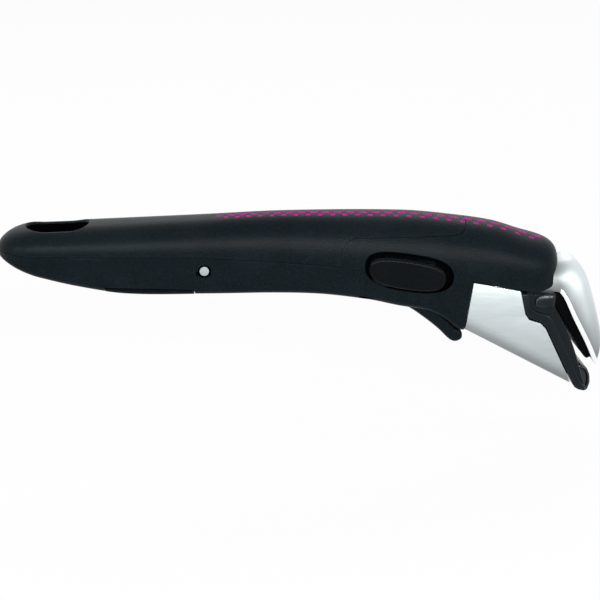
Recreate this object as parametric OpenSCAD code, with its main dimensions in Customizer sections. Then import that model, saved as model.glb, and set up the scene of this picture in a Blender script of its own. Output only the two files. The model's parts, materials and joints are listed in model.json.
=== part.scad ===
// Detachable clamp-on handle for pots and pans.
// X runs along the handle toward the pan, Y across it, Z up.
// The origin is the rim seat of the clamp, in the middle plane.

/* [Grip] */
// Length of the grip behind the lever pivot
tail_len = 79.6; // [72:0.2:100]
// Width of the grip
grip_w = 27.6; // [24:0.2:34]
// Height of the crown above the origin, at the pivot
grip_top = 40.2; // [38:0.2:44]
// Height of the underside above the origin, at the pivot
grip_bottom = 11.4; // [9:0.2:12.4]
// Wall thickness of the moulded shells
wall = 2.3; // [1.8:0.1:2.9]
// Length of the hanging hole
hole_len = 24; // [18:0.5:28]
// Width of the hanging hole
hole_w = 14; // [10:0.5:16]
// Distance from the tail tip to the hanging hole
hole_margin = 11.5; // [9:0.5:16]
// Length of the cover plate under the grip
base_plate_len = 34; // [28:0.5:38]
// Thickness of the cover plate under the grip
base_plate_t = 1.9; // [1.4:0.1:2.4]

/* [Head] */
// Width of the head
head_w = 34.4; // [33:0.2:42]
// How far the head reaches past the rim seat
head_front = 1.6; // [1:0.1:2.4]

/* [Lever] */
// Distance from the lever pivot to the lever's nose
lever_len = 101.6; // [98:0.2:122]
// Width of the lever between the grip's walls
lever_w = 19.2; // [15:0.1:19.6]
// Thickness of the lever's walls and floor
lever_wall = 1.8; // [1.4:0.1:2.2]
// Height of the lever pivot above the origin
pivot_z = 21.3; // [20.5:0.1:22]
// Diameter of the lever pivot pin
pivot_d = 3.8; // [3:0.1:4.6]
// Throw of the crank, from the lever pivot to the crank pin
crank_r = 11; // [9:0.1:11.3]
// Diameter of the crank pin
crank_pin_d = 3; // [2.4:0.1:3.6]
// Angle that the lever opens through
lever_open = 28; // [20:1:30]

/* [Drawbar] */
// Thickness of the drawbar blade
blade_t = 3; // [2:0.1:3.6]
// Height of the drawbar blade
blade_h = 7; // [6:0.1:7.6]
// Height of the blade's front tongue above the origin
tongue_z = 14; // [13.6:0.1:14.4]

/* [Clamp] */
// Width of the hook at its lower end
hook_w = 30; // [26:0.5:32]
// Width of the hook where it enters the head
hook_root_w = 24.4; // [20:0.2:25]
// Sheet thickness of the hook
hook_t = 1.8; // [1.2:0.1:2]
// Width of the front skirt
skirt_w = 32.4; // [31:0.2:33]
// Sheet thickness of the front skirt
skirt_t = 1.2; // [0.8:0.1:1.4]
// Width of the window in the clamp frame
window_w = 21; // [16:0.5:24]

/* [Buttons] */
// Distance of the buttons behind the rim seat
button_back = 60.6; // [58:0.2:63]
// Height of the buttons above the origin
button_z = 18.6; // [18:0.1:19.2]
// Length of each button
button_len = 30; // [24:0.5:31]
// Height of each button
button_h = 11; // [9:0.2:11.6]
// Gap between a button and the edge of its pocket
pocket_gap = 2.2; // [1.4:0.1:2.4]
// Slope of the buttons, front end down
button_tilt = 7; // [0:0.5:9]
// Travel of each button
button_travel = 2.4; // [1.6:0.1:2.6]
// How far each button stands out of the head
button_proud = 2.6; // [1:0.1:3]
// Diameter of each button's plunger
plunger_d = 5; // [4:0.1:5.2]

/* [Fits] */
// Radial running clearance of pins in their holes
run_gap = 0.05; // [0.02:0.01:0.1]
// Radial clearance of screws, rivets and fixed pins in their holes
hole_gap = 0.03; // [0.02:0.01:0.06]
// Side clearance of pieces that slide or swing
side_gap = 0.35; // [0.3:0.05:0.5]
// Diameter of the housing screws
screw_d = 3; // [2.4:0.1:3.4]

/* [Hidden] */

black = [0.13, 0.16, 0.18];
gloss_black = [0.05, 0.06, 0.07];
steel = [0.82, 0.84, 0.85];
big = 400;
cut = 0.5;

nose_x = -38.2;
pivot_x = nose_x - lever_len;
tail_x = pivot_x - tail_len;
button_x = -button_back;
lid_x = button_x - 26.4;

// Outlines of the body: [x, value] control points of smooth curves
tail_round = 16;
prow_round = 18;
ridge_pts = [[tail_x, grip_top - 1.9], [tail_x + 26, grip_top - 1.4], [pivot_x, grip_top],
    [pivot_x + 32, grip_top + 0.9], [button_x, grip_top - 0.1], [-40, grip_top - 2.4], [-24, 35], [-12, 31],
    [head_front, 27.5]];
under_pts = [[tail_x, 24.6], [tail_x + 12, 21], [tail_x + 30, 16], [pivot_x - 30, grip_bottom + 1],
    [pivot_x, grip_bottom], [pivot_x + 42, grip_bottom - 0.6], [-76, 8.2], [-64, 5.5], [-52, 3.1], [-45, -0.7],
    [-40, -5], [-36, -5.5], [head_front, -4]];
side_pts = [[tail_x, grip_w / 2 - 0.4], [tail_x + 30, grip_w / 2], [pivot_x + 20, grip_w / 2],
    [-80, (grip_w + head_w) / 4 + 0.6], [-56, head_w / 2], [-20, head_w / 2], [head_front, head_w / 2]];
middle_pts = [[tail_x, 29], [pivot_x - 20, 27.2], [pivot_x + 20, 25.4], [-86, 23], [-56, 20.5],
    [-30, 18], [head_front, 16]];
draft = 0.06;
corner_r = 3;
crown_power = 2.2;
crown_steps = 14;
corner_steps = 3;
end_steps = 5;
end_turn = 82;

// Where the upper shell meets the main shell
lid_end = -36;
lid_side_z = 33.2;
part_pts = [[tail_x - cut, 29.6], [tail_x + 12, 28.8], [pivot_x, 26.8], [lid_x, 22.6]];
lid_r = 7;
lid_end_r = 6;

// Lower edge of the head, over the skirt
brow_pts = [[-34.9, 15], [-16, 11.2], [-8, 10.1], [-3, 11.2], [0.6, 13.2], [3.4, 16.3], [head_front + 6, 17]];
bulkhead_t = 2;
bulkhead_foot = [-37.8, -5.5];

hole_x = tail_x + hole_margin + hole_len / 2;
screw_spots = [[pivot_x - 34, 0], [pivot_x - 14, 0], [pivot_x + 38, -7.6], [pivot_x + 38, 7.6]];
screw_head_d = 5.6;
screw_head_h = 1.7;
post_d = 7;
web_z = 21.4;
web_t = 2;

crank_half = lever_open / 2;
crank_pin_x = pivot_x - crank_r * sin(crank_half);
crank_pin_z = pivot_z + crank_r * cos(crank_half);
crank_rise = crank_r * (1 - cos(crank_half));
cheek_t = 1.6;
cheek_y = blade_t / 2 + side_gap;
hub_r = 7;

blade_z = crank_pin_z - blade_h / 2;
pocket_face = 13.2;
plate_t = 1.2;
flange_t = 1;
flange_lip = 1.2;
inner_plate_y = 5.5;
inner_plate_t = 0.9;
carrier_rear = button_x - 18.4;
carrier_front = button_x + 19;
carrier_top = 27.4;
carrier_wall = 1.4;
fork_y = 4;
fork_t = 1.1;
plunger_tip = button_travel + 0.6;
button_edge = 1;

bay_half = lever_w / 2 + 0.6;
pad_rear = 21;
pad_len = 41;
pad_top = 28.5;
floor_t = 2.2;
base_front = pivot_x - 2.7;
rear_seat_z = 17;
screw_end_z = 33.5;
pin_end = grip_w / 2 - draft * (27 - pivot_z) - 0.25;
ring_deep = 0.6;
spring_wire = 0.35;
spring_room = 0.9;

// Side outlines of the lever
lever_seat_z = 9.4;
lever_flare = 2.6;
nose_r = 2.3;
nose_at = [-40.6, -8.3];
lever_under = [[pivot_x + 3, 14], [pivot_x + 9, 12.1], [pivot_x + 41, 11.3], [-86, 9.8], [-75, 8.6], [-68, 7.2],
    [-63, 5.2], [-58, 2.6], [-54, -0.2], [-50, -3.2], [-45.6, -7.2], [-43, -9.7]];
lever_nose = [for (a = [-130:20:50]) nose_at + nose_r * [cos(a), sin(a)]];
lever_upper = [[-41.2, -4.6], [-44, -0.6], [-50, 5], [-54, lever_seat_z], [-68, lever_seat_z], [-75, 12.6],
    [pivot_x + 41, 16], [pivot_x + 9, 18.5], [pivot_x + 3, 19.6]];
lever_inside = [[pivot_x - 10, 30], [pivot_x - 10, 16], [pivot_x + 9, 14.1], [pivot_x + 41, 13.3], [-86, 11.8],
    [-75, 10.6], [-70, 9.9], [-70, 30]];

rivet_d = 2.6;
crank_rivet_x = [pivot_x + 16, pivot_x + 28];
crank_foot_z = 14.2;
crank_foot_t = 1.5;
crank_hub_r = 4.6;
crank_eye_r = 3.2;
tongue_h = 5;
blade_front = -1.5;
blade_eye_r = 4.6;
core_rivet_x = [-9.2, -4.2];
core_rivet_d = 3;
mouth_gap = 1.7;

// Edge and crown of the hook, station by station: [edge x, edge z, crown x, crown z, share of the widening]
hook_pts = [[-12, 8.9, -12, 19.6, 0], [-5, 8.9, -5, 19.6, 0], [0, 8.9, 1, 19.8, 0.05], [1.8, 7.6, 5.5, 21, 0.2],
    [3.2, 5.3, 9, 19.7, 0.4], [4.6, 2.3, 13, 14.8, 0.65], [6.6, -2, 16, 7, 0.85], [9.3, -7.2, 18.2, -0.5, 1],
    [11.7, -11.8, 19.9, -7.4, 1], [13.5, -15.6, 20.6, -12.6, 1], [15, -19, 19.8, -16.8, 1],
    [16.2, -21, 17.8, -20.2, 1]];
hook_power = 2.6;
hook_steps = 14;
core_gap = 0.3;
core_sunk = 0.2;
core_last = 10;
pad_pts = [[-1.1, 8.1], [-0.9, 3.4], [1.2, 0.3], [12.3, -18.7], [13.2, -19.4], [15.2, -18.6], [13.9, -15.4],
    [12, -11.6], [9.6, -7], [6.9, -1.8], [4.9, 2.5], [3.5, 5.5], [2.1, 8], [0, 9.2]];
pad_half = [[9.4, 10.2], [5.6, 11], [2.4, 11.7], [-2, 12.2], [-7, 12.6], [-22, 12.6]];

skirt_foot = [-37.4, -5.2];
skirt_toe = [6.9, -29.7];
skirt_angle = atan2(skirt_foot[1] - skirt_toe[1], skirt_toe[0] - skirt_foot[0]);
skirt_bend = 4;
bracket_t = 1.2;
bracket_screw_at = [-40, 8, 4];
skirt_cheek = [[-34.6, 14.6], [-16, 10.8], [-15.6, 9.9], [-13.6, 1.2], [-11.9, -1.3], [-7.2, -2.9], [-5, -5.3],
    [6.9, -29.7], [6.9, -40], [-37.4, -40], [-37.4, -5.2]];
frame_pts = [[-13.2, 1.2], [-15.3, 9.5], [-2.2, 9.2], [-2.2, 3.2], [-1.2, 0.2], [0.1, -2.5], [4.6, -12.3],
    [8.3, -23.4], [12.7, -32.1], [9.5, -31.6], [7.4, -29.6], [-4.5, -5.1], [-6.9, -2.5], [-11.5, -0.9]];
plug_pts = [[-10, -1.6], [-6.9, -2.5], [-4.5, -5.1], [5.4, -25.4], [1.6, -23.6], [-10.4, -8]];

foot_pts = [[-4, -3.8], [0.7, -3.8], [4.8, -12.3], [7.9, -21.4], [9.3, -23.2], [12, -23.2], [14.5, -24.5],
    [15.9, -27.6], [16.2, -31], [15.3, -34.1], [13.7, -34.8], [12.9, -32.3], [10.6, -27.2], [6.6, -27.2],
    [3.8, -25.2]];
foot_pin_d = 2;
foot_pin_at = [[0, -9], [4.6, -20.5]];

// ---- Curves and lofts ----

function span_of(t, x, i = 0) = (i >= len(t) - 2 || x < t[i + 1][0]) ? i : span_of(t, x, i + 1);
function slope_of(t, i) =
    let(a = max(0, i - 1), b = min(len(t) - 1, i + 1)) (t[b][1] - t[a][1]) / (t[b][0] - t[a][0]);
function curve(t, x) =
    let(
        i = span_of(t, x),
        h = t[i + 1][0] - t[i][0],
        u = min(1, max(0, (x - t[i][0]) / h)),
        m0 = slope_of(t, i) * h,
        m1 = slope_of(t, i + 1) * h
    )
    (2 * pow(u, 3) - 3 * u * u + 1) * t[i][1] + (pow(u, 3) - 2 * u * u + u) * m0
        + (3 * u * u - 2 * pow(u, 3)) * t[i + 1][1] + (pow(u, 3) - u * u) * m1;
function super(v, n) = sign(v) * pow(abs(v), 2 / n);
function ease(u, n) = u <= 0 ? 1 : pow(max(0, 1 - pow(u, n)), 1 / n);
function end_ease(x, inset, prow_n) =
    let(
        tail = (tail_x + tail_round - x) / (tail_round - inset),
        prow = (x - head_front + prow_round) / (prow_round - inset)
    )
    ease(tail, 2) * ease(prow, prow_n);

// One section of the body at x, moved inward by inset: crown, draft walls and rounded lower corners
function body_section(x, inset) =
    let(
        middle = curve(middle_pts, x),
        half = (curve(side_pts, x) - inset) * end_ease(x, inset, 2.6),
        up = (curve(ridge_pts, x) - inset - middle) * end_ease(x, inset, 5),
        down = (middle - curve(under_pts, x) - inset) * end_ease(x, inset, 2),
        low = half - draft * down,
        r = min(corner_r, 0.4 * low, 0.4 * down)
    )
    concat(
        [for (k = [0:crown_steps])
            let(a = 180 * k / crown_steps)
            [x, half * super(cos(a), crown_power), middle + up * super(sin(a), crown_power)]],
        [for (k = [0:corner_steps])
            let(a = 90 * k / corner_steps)
            [x, -(low - r + r * cos(a)), middle - down + r - r * sin(a)]],
        [for (k = [corner_steps:-1:0])
            let(a = 90 * k / corner_steps)
            [x, low - r + r * cos(a), middle - down + r - r * sin(a)]]
    );
function body_stations(inset) =
    let(
        a = tail_x + tail_round,
        b = head_front - prow_round,
        inner = [a + 8, a + 18, pivot_x - 24, pivot_x - 8, pivot_x + 10, pivot_x + 28, -92, -80, -70, -62, -54,
            -48.5, -44, -40, -35, -28, -22]
    )
    concat(
        [for (k = [end_steps:-1:0]) a - (tail_round - inset) * sin(end_turn * k / end_steps)],
        inner,
        [for (k = [0:end_steps]) b + (prow_round - inset) * sin(end_turn * k / end_steps)]
    );

// Joins a list of sections, all with the same number of points, into one closed solid.
// Each section is closed by triangles between its first half and its second half.
module loft(sections) {
    n = len(sections[0]);
    m = len(sections);
    polyhedron(
        points = [for (s = sections) for (p = s) p],
        faces = concat(
            [for (k = [0:ceil(n / 2) - 2]) for (f = [[k, k + 1, n - 2 - k], [k, n - 2 - k, n - 1 - k]])
                if (f[1] != f[2]) f],
            [for (i = [0:m - 2]) for (k = [0:n - 1])
                for (f = [[i * n + k, (i + 1) * n + k, (i + 1) * n + (k + 1) % n],
                    [i * n + k, (i + 1) * n + (k + 1) % n, i * n + (k + 1) % n]]) f],
            [for (k = [0:ceil(n / 2) - 2]) for (f = [[n - 2 - k, k + 1, k], [n - 1 - k, n - 2 - k, k]])
                if (f[0] != f[1]) [for (j = f) (m - 1) * n + j]]
        )
    );
}
module body_solid(inset = 0) {
    loft([for (x = body_stations(inset)) body_section(x, inset)]);
}

// ---- Shapes used more than once ----

// An outline in the X-Z plane, made a plate of the given width about the middle plane
module across(width, points) {
    rotate([90, 0, 0]) linear_extrude(width, center = true) polygon(points);
}
// A round bar across the handle, from y0 to y1
module cross_bar(x, z, d, y0, y1) {
    translate([x, y0, z]) rotate([-90, 0, 0]) cylinder(h = y1 - y0, d = d, $fn = 48);
}
// A flat bar with round ends, lying along X and made thick along Z
module obround(length, width, height) {
    for (s = [-1, 1]) translate([s * (length - width) / 2, 0, 0]) cylinder(h = height, d = width, $fn = 64);
    translate([-(length - width) / 2, -width / 2, 0]) cube([length - width, width, height]);
}
// A button-shaped bar across the handle, on the given side (+1 or -1), from y0 out to y1
module button_bar(side, grow, y0, y1) {
    translate([button_x, side * y0, button_z]) rotate([0, button_tilt, 0]) rotate([-side * 90, 0, 0])
        obround(button_len + 2 * grow, button_h + 2 * grow, y1 - y0);
}
module coil_spring(turns, coil_r, wire_r, length, sides = 6, steps = 12) {
    count = turns * steps;
    loft([for (k = [0:count])
        let(a = 360 * k / steps, z = wire_r + (length - 2 * wire_r) * k / count)
        [for (j = [0:sides - 1])
            let(b = 360 * j / sides, r = coil_r + wire_r * cos(b))
            [r * cos(a), r * sin(a), z + wire_r * sin(b)]]]);
}

// ---- Housing ----

module upper_region() {
    across(big, concat([[tail_x - cut, big]], part_pts,
        [for (a = [0:15:90]) [lid_x + lid_r - lid_r * cos(a), lid_side_z - lid_r + lid_r * sin(a)]],
        [for (a = [-90:15:-15])
            [lid_end - lid_end_r + lid_end_r * cos(a), lid_side_z + lid_end_r + lid_end_r * sin(a)]],
        [[lid_end, big]]));
}
module hang_hole(grow = 0) {
    translate([hole_x, 0, -big / 2]) obround(hole_len + 2 * grow, hole_w + 2 * grow, big);
}
module bulkhead() {
    lean = (brow_pts[0][0] - bulkhead_foot[0]) / (brow_pts[0][1] - bulkhead_foot[1]);
    front = [bulkhead_foot[0] - 6 * lean, bulkhead_foot[1] - 6];
    top = [bulkhead_foot[0] + 14 * lean, bulkhead_foot[1] + 14];
    across(big, [front, top, [top[0] - bulkhead_t, top[1]], [front[0] - bulkhead_t, front[1]]]);
}
// What is left solid inside the housing: hole wall, screw posts, web, bulkhead and pocket pads
module inner_solids() {
    hang_hole(wall);
    for (s = screw_spots) translate([s[0], s[1], 0]) cylinder(h = big, d = post_d, $fn = 32);
    translate([pivot_x + 17, -big / 2, web_z]) cube([lid_x - pivot_x - 18, big, web_t]);
    bulkhead();
    base_plate_slab(floor_t);
    for (s = [-1, 1]) translate([button_x - pad_rear, s > 0 ? pocket_face : -pocket_face - big, 0])
        cube([pad_len, big, pad_top]);
}
module housing() {
    difference() {
        body_solid(0);
        difference() {
            body_solid(wall);
            inner_solids();
        }
        hang_hole();
    }
}
module lever_bay() {
    rear = pivot_x - 2.6;
    nose = bay_half + 3.2;
    low = bulkhead_foot[0] - bulkhead_t;
    high = brow_pts[0][0] - bulkhead_t;
    difference() {
        translate([0, 0, -big / 2]) linear_extrude(big / 2 + web_z - 2) polygon([[rear, -bay_half], [-78, -bay_half],
            [-54, -nose], [-30, -nose], [-30, nose], [-54, nose], [-78, bay_half], [rear, bay_half]]);
        across(big, [[low, bulkhead_foot[1]], [high, brow_pts[0][1]], [0, brow_pts[0][1]], [0, -big], [low, -big]]);
    }
}
// Sockets for the screws: shank holes all the way, and recesses under the heads
module screw_holes() {
    for (s = screw_spots) {
        translate([s[0], s[1], 0]) cylinder(h = 34, d = screw_d + 2 * hole_gap, $fn = 32);
        seat = s[1] == 0 ? rear_seat_z : web_z;
        translate([s[0], s[1], seat - 20]) cylinder(h = 20, d = screw_head_d + 0.4, $fn = 32);
    }
}
module base_plate_slab(grow = 0) {
    rear = base_front - base_plate_len;
    low_front = curve(under_pts, base_front);
    low_rear = curve(under_pts, rear);
    across(big, [[rear - 1.8 - grow, low_rear + base_plate_t + grow],
        [base_front - 1.9 + grow, low_front + base_plate_t + grow], [base_front + grow, low_front - 4],
        [rear - grow, low_rear - 4]]);
}
module pockets() {
    for (s = [-1, 1]) button_bar(s, pocket_gap, pocket_face, big);
}
module pivot_bores() {
    ring_y = pin_end - ring_deep;
    cross_bar(pivot_x, pivot_z, 2 * hub_r + 1.2, -bay_half, bay_half);
    cross_bar(pivot_x, pivot_z, pivot_d + 2 * hole_gap, -big, big);
    for (s = [-1, 1]) translate([pivot_x, s * ring_y, pivot_z]) rotate([-s * 90, 0, 0])
        cylinder(h = 10, d = pivot_d + 1.4, $fn = 48);
}
function hook_half(i) = (hook_root_w + (hook_w - hook_root_w) * hook_pts[i][4]) / 2;
// Half-round arc of the hook at station i, moved inward by inset: a list of points from +Y to -Y
function hook_arc(i, inset, rev = false) =
    let(
        h = hook_pts[i],
        e = [h[0], h[1]],
        c = [h[2], h[3]],
        rise = norm(c - e),
        dir = (c - e) / rise,
        reach = max(0.15, rise - inset),
        half = hook_half(i) - inset
    )
    [for (k = [0:hook_steps])
        let(a = 180 * (rev ? hook_steps - k : k) / hook_steps, s = reach * super(sin(a), hook_power))
        [e[0] + dir[0] * s, half * super(cos(a), hook_power), e[1] + dir[1] * s]];
// The passage that the hook slides through, out of the front of the head, wider at its mouth
module hook_passage() {
    for (m = [[-14, side_gap], [-2, mouth_gap]]) {
        arc = hook_arc(0, -m[1]);
        side = hook_root_w / 2 + m[1];
        translate([m[0], 0, 0]) rotate([90, 0, 90]) linear_extrude(40)
            polygon(concat([for (p = arc) [p[1], p[2]]], [[-side, 0], [side, 0]]));
    }
}

module upper_shell() {
    color(black) difference() {
        intersection() {
            housing();
            upper_region();
        }
        screw_holes();
    }
}
module main_shell() {
    color(black) difference() {
        housing();
        upper_region();
        lever_bay();
        base_plate_slab(0.4);
        screw_holes();
        pockets();
        carrier_plates(0.1);
        pivot_bores();
        hook_passage();
        across(big, concat([bulkhead_foot - [20, big], bulkhead_foot - [0, 20], bulkhead_foot], brow_pts,
            [[40, -big]]));
        translate([-34, -skirt_w / 2 + skirt_t, 0]) cube([26, skirt_w - 2 * skirt_t, 20]);
        bracket_bores(2 * hole_gap);
    }
}
module rear_base_plate() {
    color(black) intersection() {
        body_solid(-0.1);
        base_plate_slab();
    }
}
module shell_screws() {
    color(steel) for (s = screw_spots) {
        seat = s[1] == 0 ? rear_seat_z : web_z;
        translate([s[0], s[1], seat - screw_head_h]) cylinder(h = screw_head_h, d = screw_head_d, $fn = 32);
        translate([s[0], s[1], seat - 0.2]) cylinder(h = screw_end_z - seat, d = screw_d, $fn = 32);
    }
}

// ---- Lever ----

module lever() {
    nose_half = lever_w / 2 + lever_flare;
    color(black) difference() {
        intersection() {
            union() {
                across(big, concat(lever_under, lever_nose, lever_upper));
                cross_bar(pivot_x, pivot_z, 2 * hub_r, -lever_w / 2, lever_w / 2);
            }
            translate([0, 0, -big / 2]) linear_extrude(big) polygon([[pivot_x - 20, -lever_w / 2],
                [-74, -lever_w / 2], [-54, -nose_half + 0.5], [-41, -nose_half], [-38, -nose_half + 1.2],
                [-38, nose_half - 1.2], [-41, nose_half], [-54, nose_half - 0.5], [-74, lever_w / 2],
                [pivot_x - 20, lever_w / 2]]);
        }
        across(lever_w - 2 * lever_wall, lever_inside);
        cross_bar(pivot_x, pivot_z, pivot_d + 2 * run_gap, -big, big);
        crank_rivet_bores();
        translate([button_x, 0, lever_seat_z - 5]) cylinder(h = 20, d = rivet_d + 2 * hole_gap, $fn = 32);
    }
}
module crank_rivet_bores() {
    for (x = crank_rivet_x) translate([x, 0, 0]) cylinder(h = 30, d = rivet_d + 2 * hole_gap, $fn = 32);
}
// The crank: two cheeks that straddle the blade's eye, joined by a foot on the lever's floor
module lever_crank() {
    color(steel) difference() {
        union() {
            for (s = [-1, 1]) translate([0, s * (cheek_y + cheek_t / 2), 0]) {
                rotate([90, 0, 0]) linear_extrude(cheek_t, center = true) union() {
                    translate([pivot_x, pivot_z]) circle(r = crank_hub_r, $fn = 48);
                    translate([crank_pin_x, crank_pin_z]) circle(r = crank_eye_r, $fn = 48);
                    polygon([[crank_pin_x - crank_eye_r, crank_pin_z], [crank_pin_x + crank_eye_r, crank_pin_z],
                        [pivot_x + crank_hub_r, pivot_z], [pivot_x - crank_hub_r, pivot_z]]);
                    polygon([[pivot_x, pivot_z + 3.6], [pivot_x + 32, crank_foot_z + 3], [pivot_x + 32, crank_foot_z],
                        [pivot_x + 8, crank_foot_z], [pivot_x, pivot_z - 4]]);
                }
            }
            translate([pivot_x + 8, -cheek_y - cheek_t, crank_foot_z])
                cube([24, 2 * (cheek_y + cheek_t), crank_foot_t]);
        }
        cross_bar(pivot_x, pivot_z, pivot_d + 2 * run_gap, -big, big);
        cross_bar(crank_pin_x, crank_pin_z, crank_pin_d + 2 * hole_gap, -big, big);
        crank_rivet_bores();
    }
}
module crank_rivets() {
    color(steel) for (x = crank_rivet_x) {
        low = curve(under_pts, x) + 1;
        translate([x, 0, low]) cylinder(h = crank_foot_z + crank_foot_t + 0.2 - low, d = rivet_d, $fn = 32);
        translate([x, 0, crank_foot_z + crank_foot_t]) cylinder(h = 0.8, d = rivet_d + 0.3, $fn = 32);
    }
}
module latch_fork() {
    slot = plunger_d + 2 * side_gap;
    prong = 2.5;
    top = button_z + 4;
    color(steel) difference() {
        translate([button_x - slot / 2 - prong, -fork_y - fork_t, lever_seat_z])
            cube([slot + 2 * prong, 2 * (fork_y + fork_t), top - lever_seat_z]);
        translate([button_x - 20, -fork_y, lever_seat_z + fork_t]) cube([40, 2 * fork_y, 40]);
        translate([button_x - slot / 2, -20, button_z]) cube([slot, 40, 40]);
        cross_bar(button_x, button_z, slot, -20, 20);
        translate([button_x, 0, 0]) cylinder(h = 30, d = rivet_d + 2 * hole_gap, $fn = 32);
    }
}
module fork_rivet() {
    color(steel) {
        translate([button_x, 0, lever_seat_z - 5]) cylinder(h = 5 + fork_t, d = rivet_d, $fn = 32);
        translate([button_x, 0, lever_seat_z + fork_t]) cylinder(h = 0.9, d = rivet_d + 1.6, $fn = 32);
    }
}
module lever_pivot_pin() {
    color(steel) cross_bar(pivot_x, pivot_z, pivot_d, -pin_end, pin_end);
}
module crank_pin() {
    color(steel) cross_bar(crank_pin_x, crank_pin_z, crank_pin_d, -cheek_y - cheek_t, cheek_y + cheek_t);
}
module lever_spring() {
    start = cheek_y + cheek_t + side_gap;
    color(steel) translate([pivot_x, start, pivot_z]) rotate([-90, 0, 0])
        coil_spring(3, pivot_d / 2 + spring_room, spring_wire, lever_w / 2 - lever_wall - start - side_gap);
}

// ---- Drawbar and hook ----

module drawbar() {
    low = tongue_z - tongue_h / 2;
    slot = crank_pin_d + 2 * run_gap;
    color(steel) difference() {
        union() {
            across(blade_t, [[crank_pin_x, blade_z], [-55, blade_z], [-41, low], [blade_front, low],
                [blade_front, low + tongue_h], [-37.5, low + tongue_h], [-50.5, blade_z + blade_h],
                [crank_pin_x, blade_z + blade_h]]);
            cross_bar(crank_pin_x, crank_pin_z, 2 * blade_eye_r, -blade_t / 2, blade_t / 2);
        }
        for (z = [-run_gap, crank_rise + run_gap]) cross_bar(crank_pin_x, crank_pin_z + z, slot, -10, 10);
        translate([crank_pin_x - slot / 2, -10, crank_pin_z - run_gap]) cube([slot, 20, crank_rise + 2 * run_gap]);
        core_rivet_bores();
    }
}
module core_rivet_bores() {
    for (x = core_rivet_x) cross_bar(x, tongue_z, core_rivet_d + 2 * hole_gap, -20, 20);
}
module drawbar_guide() {
    inner = skirt_w - 2 * skirt_t - 2 * bracket_t;
    color(gloss_black) difference() {
        translate([-31.5, -inner / 2, 4]) cube([9, inner, 17]);
        translate([-40, -blade_t / 2 - run_gap, tongue_z - tongue_h / 2 - run_gap])
            cube([30, blade_t + 2 * run_gap, tongue_h + 2 * run_gap]);
    }
}
module rim_hook() {
    color(steel) difference() {
        loft([for (i = [0:len(hook_pts) - 1]) concat(hook_arc(i, 0), hook_arc(i, hook_t, true))]);
        core_rivet_bores();
    }
}
// Section of the core at station i: the hook's arc moved inward, on a flat face set back from the hook's edges
function core_section(i) =
    let(
        h = hook_pts[i],
        e = [h[0], h[1]],
        c = [h[2], h[3]],
        rise = norm(c - e),
        dir = (c - e) / rise,
        inset = hook_t + core_gap,
        half = hook_half(i) - inset
    )
    [for (k = [0:hook_steps])
        let(a = 180 * k / hook_steps, s = core_sunk + (rise - inset - core_sunk) * super(sin(a), hook_power))
        [e[0] + dir[0] * s, (half - 0.1 * s) * super(cos(a), hook_power), e[1] + dir[1] * s]];
// The pad that bears on the pan's wall, standing out of the hook toward the frame
module core_pad() {
    intersection() {
        across(big, pad_pts);
        rotate([90, 0, 90]) linear_extrude(big, center = true)
            polygon(concat([for (p = pad_half) [p[1], p[0]]],
                [for (k = [len(pad_half) - 1:-1:0]) [-pad_half[k][1], pad_half[k][0]]]));
    }
}
module hook_core() {
    color(gloss_black) difference() {
        union() {
            loft([for (i = [0:core_last]) core_section(i)]);
            core_pad();
        }
        translate([-20, -blade_t / 2 - run_gap, tongue_z - tongue_h / 2 - run_gap])
            cube([20 + blade_front + run_gap, blade_t + 2 * run_gap, tongue_h + 2 * run_gap]);
        core_rivet_bores();
    }
}
module hook_rivets() {
    rise = (tongue_z - hook_pts[0][1]) / (hook_pts[0][3] - hook_pts[0][1]);
    reach = hook_root_w / 2 * super(sqrt(1 - pow(rise, hook_power)), hook_power) - 0.6;
    color(steel) for (x = core_rivet_x) cross_bar(x, tongue_z, core_rivet_d, -reach, reach);
}

// ---- Skirt, bracket and clamp frame ----

module bent_channel(width, bend, inset) {
    rotate([90, 0, 90]) linear_extrude(120) union() {
        for (s = [-1, 1]) translate([s * (width / 2 - bend), bend]) circle(r = bend - inset, $fn = 48);
        translate([-width / 2 + bend, inset]) square([width - 2 * bend, 60]);
        translate([-width / 2 + inset, bend]) square([width - 2 * inset, 60]);
    }
}
module front_skirt() {
    color(steel) intersection() {
        translate([skirt_foot[0], 0, skirt_foot[1]]) rotate([0, skirt_angle, 0]) difference() {
            translate([-30, 0, 0]) bent_channel(skirt_w, skirt_bend, 0);
            translate([-40, 0, 0]) scale([1.2, 1, 1]) bent_channel(skirt_w, skirt_bend, skirt_t);
        }
        across(big, skirt_cheek);
    }
}
module head_bracket() {
    side = skirt_w / 2 - skirt_t;
    lean = (brow_pts[0][0] - bulkhead_foot[0]) / (brow_pts[0][1] - bulkhead_foot[1]);
    low = [bulkhead_foot[0] + 6 * lean, bulkhead_foot[1] + 6];
    high = [bulkhead_foot[0] + 14 * lean, bulkhead_foot[1] + 14];
    color(steel) difference() {
        union() {
            for (s = [-1, 1]) translate([0, s * (side - bracket_t / 2), 0])
                across(bracket_t, [low, high, [-33, 19], [-18, 19], [-18, -2], [-24, -6], [-32, -1.6]]);
            across(2 * side, [low, high, [high[0] + bracket_t, high[1]], [low[0] + bracket_t, low[1]]]);
        }
        bracket_bores(2 * hole_gap);
    }
}
module bracket_bores(grow) {
    at = bracket_screw_at;
    for (s = [-1, 1]) translate([at[0] - 20, s * at[1], at[2]]) rotate([0, 90, 0])
        cylinder(h = 40, d = screw_d + grow, $fn = 32);
}
module bracket_screws() {
    at = bracket_screw_at;
    color(steel) for (s = [-1, 1]) translate([at[0], s * at[1], at[2]]) rotate([0, 90, 0]) {
        translate([0, 0, -0.7]) cylinder(h = 1.6, d = screw_head_d, $fn = 32);
        cylinder(h = 7, d = screw_d, $fn = 32);
    }
}
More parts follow.
